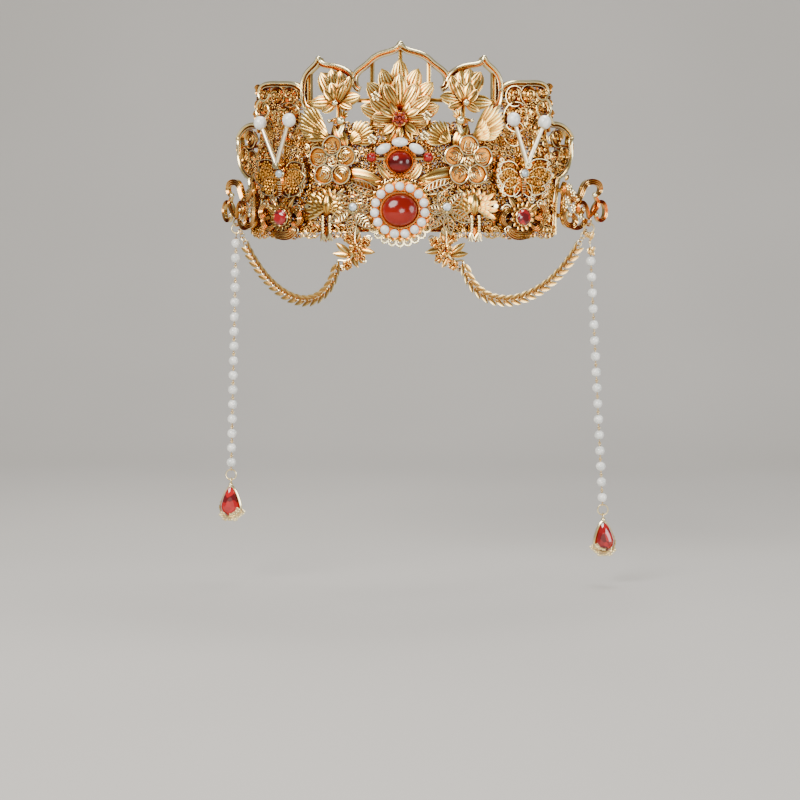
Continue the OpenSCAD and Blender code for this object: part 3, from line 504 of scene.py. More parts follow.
def halfFrame(letter):
    work = newShape()
    for run in arches["runs"]:
        sweep(work, joined(run, 9), arches["profile"])
    for a, b in arches["ribs"]:
        steps = max(2, int(math.hypot(b[0] - a[0], b[1] - a[1]) / 3))
        path = [(a[0] + (b[0] - a[0]) * t, a[1] + (b[1] - a[1]) * t) for t in spread(0, 1, steps)]
        sweep(work, path, flutedProfile(1.8, -1.2, 0.8, 1, 0.35))
    for z, end in arches["hoops"]:
        sweep(work, [(s, z) for s in spread(0, end, int(end / 3))], flutedProfile(1.8, -1.2, 0.8, 1, 0.35))
    for centre, radius in arches["clouds"]:
        sweep(work, spiral(centre, radius, 1.55, 26), flutedProfile(1.5, -0.9, 1.5, 2, 0.5))
        grains(work, Matrix.Identity(4), [centre], radius * 0.2, 1.0)
        wire(work, Matrix.Identity(4), spiral(centre, radius + 1.0, 0.75, 14, 0.6, 0.12), 0.32, lift=1.3)
    for centre, radius, start in arches["curls"]:
        sweep(work, spiral(centre, radius, 1.2, 18, start, 0.7), flutedProfile(1.5, -0.4, 1.6, 2, 0.4))
    lugs = [(arches["lugs"][letter], 8), (arches["lugs"][letter], 20)]
    for at in arches["pads"] + lugs:
        stamp(work, postMesh(2.3, 2.1, 2.0), moved(at[0], at[1], -1.2))
    rim = flutedProfile(3.0, -1.2, 1.5, 2, 0.5)
    sweep(work, [(s, arches["rim"] / 2) for s in spread(0, arches["end"], 40)], rim)
    for k in range(int(arches["end"] / 1.7)):
        stamp(work, grainMesh(0.62), moved(0.85 + 1.7 * k, arches["rim"] / 2, 1.35))
    if letter == "r":
        stamp(work, ballMesh(1.5, 16), moved(0, 85.2, 0.9))
    for tip in ((38.9, 79.6), (94.4, 45.4)):
        stamp(work, ballMesh(1.35, 12), moved(tip[0], tip[1], 0.8))
    wrapOnCrown(work)
    return work


def makeFrame():
    whole = halfFrame("r")
    other = halfFrame("l")
    bmesh.ops.scale(other, vec=(-1, 1, 1), verts=other.verts[:])
    bmesh.ops.reverse_faces(other, faces=other.faces[:])
    mesh = keepMesh(other, "left half")
    stamp(whole, mesh, Matrix.Identity(4))
    finishPiece(whole, "frame", [castGold], ["crown_frame"])


# Filigree between the frame's ribs: small scrolls and grains on a fine wire
filigree = {
    "zones": [(2, 80, 1, 28), (30, 82, 28, 45), (48, 73, 45, 67), (73, 90, 28, 41), (0, 30, 26, 50)],
    "holes": [((85, 45), 5), ((79, 40), 4.5), ((61, 38), 2.4), ((51, 49), 2.6), ((37, 54), 3.2), ((42, 44), 2.2)],
    "layers": [(0.0, 0.4, 1.6), (0.5, -0.9, 0.0)], "pitch": 2.9}


def filigreeUnits():
    units = []
    for start, hand in ((0.0, 1), (2.1, -1), (4.2, 1)):
        shape = newShape()
        wire(shape, Matrix.Identity(4), spiral((0, 0), 2.05, 1.25, 12, start, 0.72, hand), 0.42, 5)
        stamp(shape, grainMesh(0.62), moved(0, 0, 0.2))
        stamp(shape, grainMesh(0.55), moved(1.9 * math.cos(start + 2.4), 1.9 * math.sin(start + 2.4), 0.1))
        units.append(keepMesh(shape, "scroll"))
    shape = newShape()
    for k in range(5):
        stamp(shape, grainMesh(0.55), turned(72 * k) @ moved(0, 1.05, 0.1))
    stamp(shape, grainMesh(0.5), moved(0, 0, 0.4))
    units.append(keepMesh(shape, "rosette"))
    shape = newShape()
    wire(shape, Matrix.Identity(4), [(-1.6, -0.8), (-0.9, 0.9), (0.4, 1.1), (1.3, 0.2), (0.8, -0.8)], 0.38, 5)
    wire(shape, Matrix.Identity(4), [(-0.9, -1.5), (0.3, -1.2), (1.7, -0.6), (2.0, 0.7)], 0.38, 5)
    stamp(shape, grainMesh(0.48), moved(0.2, 0.1, 0.2))
    units.append(keepMesh(shape, "curl"))
    return units


def makeFiligree():
    units = filigreeUnits()
    pick = random.Random(7)
    work = newShape()
    pitch = filigree["pitch"]
    done = set()
    spots = [zone + layer for layer in filigree["layers"] for zone in filigree["zones"]]
    spots.append((22, 80, -2.2, 2.6, 0.25, 1.3, 2.2))
    for low, high, bottom, top, shift, inner, outer in spots:
        for row in range(math.floor(bottom / pitch) - 1, int(top / pitch) + 1):
            for column in range(-1, int(high / pitch) + 1):
                s = (column + 0.5 * (row % 2) + shift) * pitch
                z = (row + shift) * pitch + 0.8
                if not (low <= s <= high and bottom <= z <= top) or (row, column, shift) in done:
                    continue
                done.add((row, column, shift))
                s += pick.uniform(-0.5, 0.5)
                z += pick.uniform(-0.5, 0.5)
                if any(math.hypot(s - c[0], z - c[1]) < r for c, r in filigree["holes"]):
                    continue
                unit = pick.choice(units)
                stamp(work, unit, moved(s, z, pick.uniform(inner, outer)) @ turned(pick.uniform(0, 360)))
    wrapOnCrown(work)
    finishPair(work, "filigree", [shadedGold], [], sharp=60)


# Lotus in the middle, its beads and the two buds
lotus = {
    "back": [(0, 27.5, 9), (20, 24.5, 8.5), (-20, 24.5, 8.5), (42, 22.5, 8.5), (-42, 22.5, 8.5), (72, 19, 8), (-72, 19, 8),
             (100, 12.6, 6), (-100, 12.6, 6)],
    "middle": [(0, 20, 9), (26, 18.5, 8), (-26, 18.5, 8), (54, 17, 7.5), (-54, 17, 7.5), (86, 13, 6), (-86, 13, 6)],
    "front": [(0, 16.5, 7), (30, 13.5, 5.5), (-30, 13.5, 5.5)],
    "low": [(128, 11, 4.6), (-128, 11, 4.6), (152, 11.5, 4.2), (-152, 11.5, 4.2), (176, 10, 4)],
    "collar": [(62, 8.5, 3.6), (-62, 8.5, 3.6), (130, 8, 3.6), (-130, 8, 3.6), (180, 7, 3.4), (30, 7, 3), (-30, 7, 3)],
    "flowers": [(-11, 10.3), (12.5, 1.5), (-12.6, -9), (11.5, -7.5)]}


def makeLotus():
    work = newShape()
    base = onCrown((0, 51), sheet["backOut"])
    petal = {"arch": 0.9, "curl": 0.9, "relief": 0.32, "widest": 0.6, "rows": 10, "full": 0.6}
    fan(work, base, lotus["back"], 0.35, 5, **petal)
    fan(work, base, lotus["low"], 0.3, 2, arch=0.5, widest=0.6)
    fan(work, base, lotus["middle"], 1.25, 5, **petal)
    fan(work, base @ moved(0, 4), lotus["front"], 2.1, 4, **petal)
    fan(work, base, lotus["collar"], 2.3, 2, arch=0.45, curl=0.5, base=2.0, widest=0.55)
    stamp(work, postMesh(3.6, 3.2, 1.5), base @ moved(0, 0, 1.7))
    for x, y in lotus["flowers"]:
        smallFlower(work, base @ moved(x, y, 2.4), 2.4)
    for z in (52, 70):
        stamp(work, postMesh(1.1, 1.1, 2.6), onCrown((0, z), 1.0))
    finishPiece(work, "lotus", [castGold], ["lotus_centre"])

    beads = newShape()
    at = onCrown((0, 51), sheet["backOut"] + 4.2)
    for k in range(5):
        stamp(beads, ballMesh(1.05, 16), at @ turned(72 * k) @ moved(0, 1.75, 0))
    stamp(beads, ballMesh(0.9, 16), at @ moved(0, 0, 0.5))
    for k in range(5):
        stamp(beads, ballMesh(0.8, 12), at @ turned(72 * k + 36) @ moved(0, 3.0, -0.5))
    finishPiece(beads, "lotusBeads", [lotusRed], ["lotus_beads"])


def makeBuds():
    work = newShape()
    base = onCrown(places["bud"], sheet["backOut"])
    petal = {"arch": 1.0, "curl": 0.6, "relief": 0.34, "widest": 0.58, "rows": 10, "full": 0.55}
    fan(work, base, [(8, 14, 8), (-30, 15.5, 8.4), (30, 13, 7.4), (-10, 15, 8)], 0.35, 5, **petal)
    fan(work, base, [(80, 12, 6.4), (-92, 13, 6.8), (112, 8.5, 5), (-122, 8.5, 5)], 0.3, 4, arch=0.6, curl=0.7, widest=0.55, full=0.6)
    fan(work, base @ moved(0, -1), [(-14, 10, 6.4), (24, 10.4, 5.6), (-42, 8.6, 5)], 1.4, 4, arch=0.9, curl=0.3, relief=0.3, widest=0.55, full=0.6)
    stamp(work, ballMesh(1.7, 14), base @ moved(0.4, -0.6, 1.6))
    stamp(work, postMesh(1.1, 1.1, 2.2), onCrown((29, 61), 1.0))
    finishPair(work, "lotusBud", [castGold], ["lotus_bud"])


# Phoenixes under the side arches
phoenixWings = {
    "outer": [(-28 - 5.4 * k, 16 + 5 * math.sin(math.pi * (k + 2) / 13) - 0.35 * k, 2.5) for k in range(12)],
    "covert": [(-30 - 8 * k, 11 - 0.3 * k, 2.4) for k in range(8)],
    "shoulder": [(-34 - 10 * k, 6.5, 2.2) for k in range(6)],
    "inner": [(18 + 9.2 * k, 9.5 + 3.6 * math.sin(math.pi * (k + 1) / 10), 2.1) for k in range(9)],
    "innerCovert": [(24 + 11 * k, 6.2, 2.0) for k in range(6)]}


def makePhoenixes():
    work = newShape()
    wing = onCrown((32, 42.5), sheet["backOut"])
    fan(work, wing, phoenixWings["outer"], 0.35, 1, arch=0.35, relief=0.2, widest=0.62, rows=8, curl=0.6)
    fan(work, wing, phoenixWings["covert"], 1.1, 1, arch=0.35, relief=0.2, widest=0.6)
    fan(work, wing, phoenixWings["shoulder"], 1.7, 1, arch=0.4, relief=0.2, widest=0.55)
    inner = onCrown((22.5, 40.5), sheet["backOut"])
    fan(work, inner, phoenixWings["inner"], 0.35, 1, arch=0.3, relief=0.2, widest=0.66)
    fan(work, inner, phoenixWings["innerCovert"], 1.1, 1, arch=0.35, relief=0.2, widest=0.6)
    body = onCrown((25.5, 40.5), sheet["backOut"])
    stamp(work, leafMesh(15, 7.8, 3, 0.25, 2.2, 0.0, 0.6, 0.5, 9), body @ moved(-1, -5, 0.5) @ turned(-24))
    neck = bezier([(2, -1), (4.6, 4.2), (-0.8, 6), (0.9, 9.8)], 12)
    sweep(work, neck, [(1.7 * math.cos(a), 1.2 + 1.2 * math.sin(a), 0) for a in spread(0, 2 * math.pi, 10)],
          scale=lambda t: 1.15 - 0.35 * t, place=body)
    for k in range(7):  # overlapping neck feathers
        x, y = neck[1 + k].x, neck[1 + k].y
        for side in (-1, 0, 1):
            stamp(work, leafMesh(2.6, 1.5, 1, 0.12, 0.3, 0.0, 0.25, 0.5, 4), body @ moved(x + side * 1.1, y - 1.2, 2.3 - 0.5 * abs(side)) @ turned(180 - 14 * side))
    stamp(work, ballMesh(2.2, 20), body @ moved(1, 10.2, 1.6))
    stamp(work, leafMesh(4.6, 2.2, 1, 0.1, 0.9, 0.0, 0.5, 0.3, 5), body @ moved(2.2, 10.8, 1.4) @ turned(-98))
    stamp(work, leafMesh(3.4, 1.4, 1, 0.1, 0.5, 0.0, 0.4, 0.3, 5), body @ moved(2.2, 10.0, 1.2) @ turned(-112))
    stamp(work, ringMesh(0.55, 0.16, 10, 5), body @ moved(1.5, 10.6, 3.4))
    stamp(work, grainMesh(0.3, 2), body @ moved(1.5, 10.6, 3.5))
    fan(work, body @ moved(0.4, 11.2), [(18, 4.8, 1.4), (44, 4.4, 1.4), (-6, 4.4, 1.3), (68, 3.4, 1.2)], 1.4, 1, arch=0.3, curl=0.6)
    stamp(work, ballMesh(0.95, 12), body @ moved(6.6, 10.2, 1.9), 0)  # bead held at the beak
    for at in ((29, 41), (13, 41)):
        stamp(work, postMesh(1.1, 1.1, 2.4), onCrown(at, 1.0))
    finishPair(work, "phoenix", [castGold], ["phoenix"])


# Lower birds: fine slanting feathers and hanging feet
def makeLowerBirds():
    work = newShape()
    base = onCrown(places["bird"], sheet["backOut"])
    for row, (radius, count, start, end, lift) in enumerate(((13, 13, -112, 118, 0.35), (10.2, 12, -106, 112, 0.9), (7.4, 10, -100, 104, 1.4), (4.8, 8, -90, 96, 1.8))):
        rows = [(start + (end - start) * k / (count - 1), radius - 2.2 * abs(math.sin(math.radians(start + (end - start) * k / (count - 1)) / 2)) * (1 if row else 0.4), 2.6) for k in range(count)]
        rows = [(a, l * (1.0 if abs(a) > 40 else 0.78), w) for a, l, w in rows]
        fan(work, base @ moved(0, -1), rows, lift, 1, arch=0.4, relief=0.2, widest=0.62, rows=6)
    stamp(work, leafMesh(11, 7, 3, 0.25, 1.8, 0.0, 0.5, 0.5, 8), base @ moved(0, -4.5, 1.2))
    for x, tilt in ((-1.2, 6), (2.4, -8)):
        wire(work, base @ moved(x, 0), [(0, -4), (0.3, -8), (0, -12.4)], 1.0, 8, lift=0.8, scale=lambda t: 1 - 0.2 * t)
        for k in range(5):
            stamp(work, ringMesh(1.02, 0.3, 12, 5), base @ moved(x, -5.5 - 1.4 * k, 0.8) @ turned(90, "X"))
        for angle in (156, 180, 206):
            claw = bezier([(0, 0), (0.2, 1.3), (0.5, 2.6), (-0.2, 3.8)], 7)
            wire(work, base @ moved(x, -12.2) @ turned(angle + tilt), claw, 0.75, 7, lift=0.9, scale=lambda t: 1.1 - 0.6 * t)
    fan(work, base @ moved(1.2, -9), [(180, 7.5, 2.6), (158, 7, 2.0), (204, 7, 2.0)], 0.2, 1, arch=0.3)
    for at in ((29, 12), (44, 12)):
        stamp(work, postMesh(1.1, 1.1, 2.4), onCrown(at, 1.0))
    finishPair(work, "lowerBird", [castGold], ["lower_bird"])


# Plum flowers: rimmed dishes with curved strokes
def makePlumFlowers():
    work = newShape()
    base = onCrown(places["flower"], sheet["backOut"] + 2.8)
    for k in range(5):
        petal = base @ turned(72 * k) @ moved(0, 7.1)
        stamp(work, postMesh(4.3, 4.3, 0.45, 28), petal @ moved(0, 0, 0.15), 1)
        for step, radius in enumerate((1.2, 2.4, 3.5)):
            arc = [(radius * math.cos(a), radius * math.sin(a) * 0.9) for a in spread(math.radians(200 + 12 * step), math.radians(405 - 12 * step), 10)]
            wire(work, petal, arc, 0.33, 5, 0, lift=0.72 + 0.14 * step)
        for x in (-1.5, 1.5):
            wire(work, petal, [(x, -3.2), (x * 1.25, -0.6), (x * 0.7, 2.0)], 0.3, 5, 0, lift=0.85)
        rim = [(4.45 * math.cos(a) * (1 + 0.05 * math.cos(3 * a)), 4.35 * math.sin(a) + 0.1) for a in spread(0, 2 * math.pi, 26)]
        sweep(work, [(x, y, 1.35) for x, y in rim], [(0.42 * math.cos(a), 0.62 * math.sin(a), 0) for a in spread(0, 2 * math.pi, 8)], closed=True, place=petal)
        grains(work, petal, [(-0.9, 0.4), (0.9, 0.4), (0, -1.2)], 0.55, 0.9, 0)
    stamp(work, ringMesh(2.1, 0.42, 22, 7), base @ moved(0, 0, 1.4))
    stamp(work, postMesh(2.5, 2.0, 1.3, 20), base @ moved(0, 0, 0.2), 1)
    for k in range(4):
        stamp(work, grainMesh(0.85, 2), base @ turned(90 * k + 20) @ moved(1.05, 0, 1.9))
    for k in range(10):
        wire(work, base @ turned(36 * k + 18), [(0, 2.4), (0.3, 3.6), (0.1, 4.8)], 0.2, 5, 0, lift=1.2)
        stamp(work, grainMesh(0.36), base @ turned(36 * k + 18) @ moved(0.1, 5.0, 1.35))
    stamp(work, postMesh(1.1, 1.1, 4.4), base @ moved(0, 0, -4.3))
    finishPair(work, "plumFlower", [wireGold, amberGold], ["plum_flower"])


# Butterflies: granulated wings with rings along their dark edges, and feelers with pearls
butterfly = {
    "wings": [(-58, 17.5, 9.5), (-80, 18, 9), (-108, 14, 8.5), (62, 15, 9.5), (84, 14.5, 9), (116, 13, 8.5), (150, 9, 5), (-150, 9, 5)],
    "tips": [(-7.6, 27.6), (10.2, 27)], "foot": (0.4, 7.2), "out": 4.4}


def makeButterflies():
    work = newShape()
    base = onCrown(places["butterfly"], sheet["backOut"])
    pick = random.Random(11)
    for k, (angle, length, width) in enumerate(butterfly["wings"]):
        wing = base @ turned(angle) @ moved(0, 0, 0.3 + 0.05 * k)
        stamp(work, leafMesh(length, width, 2, 0.1, 0.35, 0.0, 0.5, 0.55, 8), wing, 1)
        power = math.log(0.5) / math.log(0.55)
        edge = [(width / 2 * math.sin(math.pi * t ** power) ** 0.85 if 0 < t < 1 else 0, t * length) for t in spread(0, 1, 14)]
        outline = edge + [(-x, y) for x, y in edge[-2:0:-1]]
        sweep(work, [(x, y, 0.75) for x, y in outline], roundProfile(0.36, 6), closed=True, place=wing, finish=0)
        for row in range(int(length / 1.7)):
            y = 2.4 + 1.6 * row
            if y > length - 1.6:
                continue
            half = width / 2 * math.sin(math.pi * (y / length) ** power) ** 0.85 - 1.0
            for column in range(-3, 4):
                x = column * 1.55 + 0.75 * (row % 2)
                if abs(x) > half:
                    continue
                if (row + column) % 3 == 0:
                    stamp(work, ringMesh(0.66, 0.25, 9, 5), wing @ moved(x, y, 0.95), 1)
                else:
                    stamp(work, grainMesh(pick.uniform(0.55, 0.8)), wing @ moved(x, y, 0.8), 1)
    for k in range(8):
        for angle, reach in ((-52 - 9.5 * k, 17.6 - 0.5 * k), (52 + 10 * k, 14.8 - 0.35 * k)):
            rim = base @ turned(angle) @ moved(0, reach, 1.0)
            stamp(work, postMesh(1.35, 1.35, 0.5, 12), rim @ moved(0, 0, -0.6), 1)
            stamp(work, ringMesh(0.85, 0.3, 12, 6), rim, 0)
    stamp(work, leafMesh(15.5, 5, 3, 0.3, 1.6, 0.0, 0.8, 0.5, 9), base @ moved(0, -7, 0.9), 0)
    for k in range(6):
        stamp(work, ringMesh(1.5 - 0.14 * k, 0.3, 14, 6), base @ moved(0, -0.5 - 1.1 * k, 1.9) @ turned(90, "X"), 0)
    stamp(work, ringMesh(2.35, 0.34, 20, 6), base @ moved(0, 3.2, 2.6), 0)
    for k in range(10):
        stamp(work, grainMesh(0.34), base @ moved(0, 3.2, 2.9) @ turned(36 * k) @ moved(2.35, 0, 0), 0)
    stamp(work, postMesh(2.6, 2.2, 2.4), base @ moved(0, 3.2, 0.1), 0)
    foot = Vector(butterfly["foot"])
    stamp(work, postMesh(2.1, 1.9, 5.0), base @ moved(foot.x, foot.y, 0.2), 0)
    for tip in butterfly["tips"]:
        way = Vector(tip) - foot
        rod = base @ moved(foot.x, foot.y, butterfly["out"]) @ turned(math.degrees(math.atan2(way.y, way.x)) - 90) @ turned(-90, "X")
        stamp(work, postMesh(1.15, 1.0, way.length - 3.1, 16), rod, 2)
        stamp(work, ringMesh(1.15, 0.28, 14, 6), rod @ moved(0, 0, way.length - 3.3), 0)
        stamp(work, ballMesh(1.35, 14), base @ moved(foot.x, foot.y, butterfly["out"]), 0)
    for at in ((58, 31.8), (58, 20)):
        stamp(work, postMesh(1.1, 1.1, 2.4), onCrown(at, 1.0))
    finishPair(work, "butterfly", [wireGold, amberGold, ivoryGold], ["butterfly"])
    pearls = newShape()
    for tip in butterfly["tips"]:
        stamp(pearls, ballMesh(3.2, 32), base @ moved(tip[0], tip[1], butterfly["out"]) @ Matrix.Diagonal((0.97, 1.03, 0.97, 1)))
    finishPair(pearls, "feelerPearls", [pearlWhite], ["antenna_pearls"], 80)


# Centre plaque with the large cabochon and its ring of pearls
plaque = {"ring": 11.55, "count": 15, "pearl": 4.2, "stone": 17.0, "oval": 0.9}


def domeMesh(width, height, oval):
    shape = newShape()
    bmesh.ops.create_uvsphere(shape, u_segments=48, v_segments=32, radius=width / 2)
    bmesh.ops.bisect_plane(shape, geom=shape.verts[:] + shape.edges[:] + shape.faces[:], plane_co=(0, 0, 0.01), plane_no=(0, 0, 1), clear_inner=True)
    bmesh.ops.holes_fill(shape, edges=[e for e in shape.edges if e.is_boundary], sides=0)
    for v in shape.verts:
        v.co = (v.co.x, v.co.y * oval, (v.co.z / (width / 2)) ** 0.9 * height if v.co.z > 0.02 else 0.0)
    bmesh.ops.recalc_face_normals(shape, faces=shape.faces[:])
    return keepMesh(shape, "cabochon")


def makePlaque():
    work = newShape()
    base = onCrown(places["plaque"], sheet["backOut"] + 1.4)
    stamp(work, postMesh(13.9, 13.9, 0.9, 64), base @ moved(0, 0, 0.05) @ Matrix.Diagonal((1, 0.97, 1, 1)), 1)
    for k in range(26):
        a = 360 / 26 * k
        stamp(work, leafMesh(3.6, 2.6, 1, 0.2, 0.3, 0.0, 0.3, 0.55, 4), base @ turned(a) @ moved(0, 11.2, 0.9), 0)
    oval = [(8.95 * math.cos(a), 8.95 * plaque["oval"] * math.sin(a)) for a in spread(0, 2 * math.pi, 60)]
    sweep(work, [(x, y, 0) for x, y in oval], [(-0.28, 0.9, 0.4), (-0.28, 3.1, 0), (0, 3.3, 0), (0.28, 3.1, 0), (0.28, 0.9, 0.4), (-0.28, 0.9, 0.4)], closed=True, place=base)
    for k in range(44):
        a = 2 * math.pi * k / 44
        stamp(work, grainMesh(0.42), base @ moved(9.55 * math.cos(a), 9.55 * plaque["oval"] * math.sin(a), 1.5), 0)
    for k in range(-5, 6):
        lobe = base @ turned(180 + 14 * k) @ moved(0, 14.7)
        stamp(work, ringMesh(1.7, 0.42, 18, 6), lobe @ moved(0, 0, 0.7), 0)
        stamp(work, ringMesh(0.8, 0.26, 12, 5), lobe @ moved(0, 0.2, 0.8), 0)
        stamp(work, grainMesh(0.6), lobe @ moved(0, 2.0, 0.7), 0)
        stamp(work, grainMesh(0.5), lobe @ turned(7) @ moved(-1.7, -1.0, 0.9), 0)
    for at in ((0, 5), (-12.4, 9), (12.4, 9)):
        stamp(work, postMesh(1.1, 1.1, 3.6), onCrown(at, 1.0))
    for k in range(plaque["count"]):
        a = math.radians(90 + 360 * k / plaque["count"])
        stamp(work, postMesh(0.45, 0.45, 3.4, 8), base @ moved(plaque["ring"] * math.cos(a), plaque["ring"] * 0.94 * math.sin(a), 0.4), 0)
        stamp(work, ringMesh(1.55, 0.2, 14, 5), base @ moved(plaque["ring"] * math.cos(a), plaque["ring"] * 0.94 * math.sin(a), 1.3), 0)
    finishPiece(work, "centrePlaque", [wireGold, shadedGold], ["centre_plaque"])

    stone = newShape()
    stamp(stone, domeMesh(plaque["stone"] - 0.1, 5.2, plaque["oval"]), base @ moved(0, 0, 1.2))
    finishPiece(stone, "largeCabochon", [largeAgate], ["large_cabochon"], sharp=50)

    pearls = newShape()
    pick = random.Random(3)
    for k in range(plaque["count"]):
        a = math.radians(90 + 360 * k / plaque["count"])
        at = base @ moved(plaque["ring"] * math.cos(a), plaque["ring"] * 0.94 * math.sin(a), 1.2 + plaque["pearl"] / 2)
        size = pick.uniform(0.96, 1.0)
        stamp(pearls, ballMesh(plaque["pearl"] / 2, 28), at @ turned(math.degrees(a)) @ Matrix.Diagonal((size, pick.uniform(0.97, 1.0), size, 1)))
    finishPiece(pearls, "ringPearls", [pearlWhite], ["ring_pearls"], 80)


# Small setting over the plaque, with rice pearls, red beads and long leaves
smallRow = {"rice": [((-7.6, 5.8), 28), ((0, 8.8), 0), ((7.6, 5.8), -28)], "bead": (12.9, 1.9)}


def makeSmallSetting():
    work = newShape()
    base = onCrown(places["small"], sheet["backOut"])
    stamp(work, postMesh(7.6, 7.6, 0.8, 40), base @ moved(0, 0, 0.1), 1)
    oval = [(6.4 * math.cos(a), 5.8 * math.sin(a)) for a in spread(0, 2 * math.pi, 44)]
    sweep(work, [(x, y, 0) for x, y in oval], [(-0.3, 0.7, 0.4), (-0.3, 2.5, 0), (0, 2.8, 0), (0.3, 2.5, 0), (0.3, 0.7, 0.4), (-0.3, 0.7, 0.4)], closed=True, place=base)
    for k in range(30):
        a = 2 * math.pi * k / 30
        stamp(work, grainMesh(0.45), base @ moved(7.1 * math.cos(a), 6.5 * math.sin(a), 1.1), 0)
    for (x, y), turn in smallRow["rice"]:
        stamp(work, postMesh(2.5, 2.4, 0.8), base @ moved(x, y, 0.1), 1)
        stamp(work, postMesh(0.45, 0.45, 3.2, 8), base @ moved(x, y, 0.4), 0)
    for side in (1, -1):
        x, y = smallRow["bead"]
        wire(work, base, [(side * 6, 1.5), (side * 9, 1.6), (side * x, y)], 0.9, 8, 0, lift=0.6)
        stamp(work, postMesh(2.5, 2.4, 0.8), base @ moved(side * x, y, 0.1), 1)
        stamp(work, postMesh(0.45, 0.45, 3.2, 8), base @ moved(side * x, y, 0.4), 0)
        for k in range(9):
            stamp(work, grainMesh(0.4), base @ moved(side * x, y, 1.0) @ turned(40 * k) @ moved(2.5, 0, 0), 0)
        stamp(work, leafMesh(11, 5, 3, 0.22, 0.5, 0.3, 0.35, 0.5, 8), base @ moved(side * 3, -9, 0.5) @ turned(side * -40), 0)
    for k in range(-6, 7):
        stamp(work, ringMesh(0.95, 0.28, 12, 5), base @ moved(1.25 * k, -9.4 + 0.6 * (k % 2), 0.7), 0)
        stamp(work, grainMesh(0.5), base @ moved(1.25 * k, -7.6, 0.8), 0)
        stamp(work, grainMesh(0.5), base @ moved(1.25 * k, -11.0, 0.6), 1)
    for y in (-3.5, -5.4, -7.0):
        for k in range(-3, 4):
            stamp(work, grainMesh(0.5), base @ moved(1.4 * k, y - 1.6, 0.9), 1)
    for letter, flipped in sides:
        leafSide = Matrix.Diagonal((-1 if flipped else 1, 1, 1, 1))
        half = newShape()
        long = onCrown((15, 24), sheet["backOut"])
        stamp(half, leafMesh(24, 7.5, 3, 0.3, 0.7, 0.4, 0.4, 0.5, 12), long @ moved(-9.6, -4.2, 0.4) @ turned(-66), 0)
        stamp(half, leafMesh(21, 5.6, 2, 0.25, 0.6, 0.3, 0.4, 0.5, 10), long @ moved(-8.0, -0.6, 0.9) @ turned(-78), 0)
        under = long @ moved(-7.0, -6.6, 1.1) @ turned(-70)
        edge = [(2.9 * math.sin(math.pi * t), 19 * t) for t in spread(0, 1, 14)]
        sweep(half, [(x, y, 0.3) for x, y in edge + [(-x, y) for x, y in edge[-2:0:-1]]], roundProfile(0.36, 6), closed=True, place=under)
        wire(half, under, [(0, 0.6), (0.2, 9), (0, 18.4)], 0.32, 6, 0, lift=0.3)
        for k in range(8):
            for lean in (1, -1):
                y = 2.6 + 1.9 * k
                reach = 2.7 * math.sin(math.pi * min(1, (y + 1.4) / 19))
                wire(half, under, [(0, y), (lean * reach * 0.6, y + 0.9), (lean * reach, y + 1.5)], 0.22, 5, 0, lift=0.3)
        stamp(half, postMesh(1.1, 1.1, 2.2), onCrown((13, 20), 1.0))
        bmesh.ops.transform(half, matrix=leafSide, verts=half.verts[:])
        if flipped:
            bmesh.ops.reverse_faces(half, faces=half.faces[:])
        mesh = keepMesh(half, "long leaves")
        stampKeep(work, mesh)
    finishPiece(work, "smallSetting", [wireGold, shadedGold], ["small_setting"])

    stone = newShape()
    stamp(stone, domeMesh(11.3, 4.0, 0.9), base @ moved(0, 0, 1.2))
    finishPiece(stone, "smallCabochon", [smallAgate], ["small_cabochon"], sharp=50)
    rice = newShape()
    for (x, y), turn in smallRow["rice"]:
        stamp(rice, ballMesh(2.15, 28), base @ moved(x, y, 3.35) @ turned(turn) @ Matrix.Diagonal((1.72, 1, 1, 1)))
    finishPiece(rice, "ricePearls", [pearlWhite], ["rice_pearls"], 80)
    beads = newShape()
    for side in (1, -1):
        stamp(beads, ballMesh(2.3, 28), base @ moved(side * smallRow["bead"][0], smallRow["bead"][1], 3.5))
    finishPiece(beads, "redBeads", [beadRed], ["red_beads"], 80)


def stampKeep(work, mesh):
    # joins a mesh and keeps the finishes that its faces have
    work.from_mesh(mesh)


# Clear crystals on the butterflies and sprigs
def makeCrystals():
    work = newShape()
    for letter, flipped in sides:
        for at, out, y, radius in ((places["butterfly"], 5.2, 3.2, 1.95), (places["sprig"], 7.5, 1.5, 1.9)):
            half = newShape()
            stamp(half, cutMesh(radius * 2, 1.5, 0.55, 10), onCrown(at, out) @ moved(0, y, 0))
            if flipped:
                bmesh.ops.scale(half, vec=(-1, 1, 1), verts=half.verts[:])
                bmesh.ops.reverse_faces(half, faces=half.faces[:])
            stampKeep(work, keepMesh(half, "crystal"))
    finishPiece(work, "crystals", [crystalGlass], ["crystals"], 5)


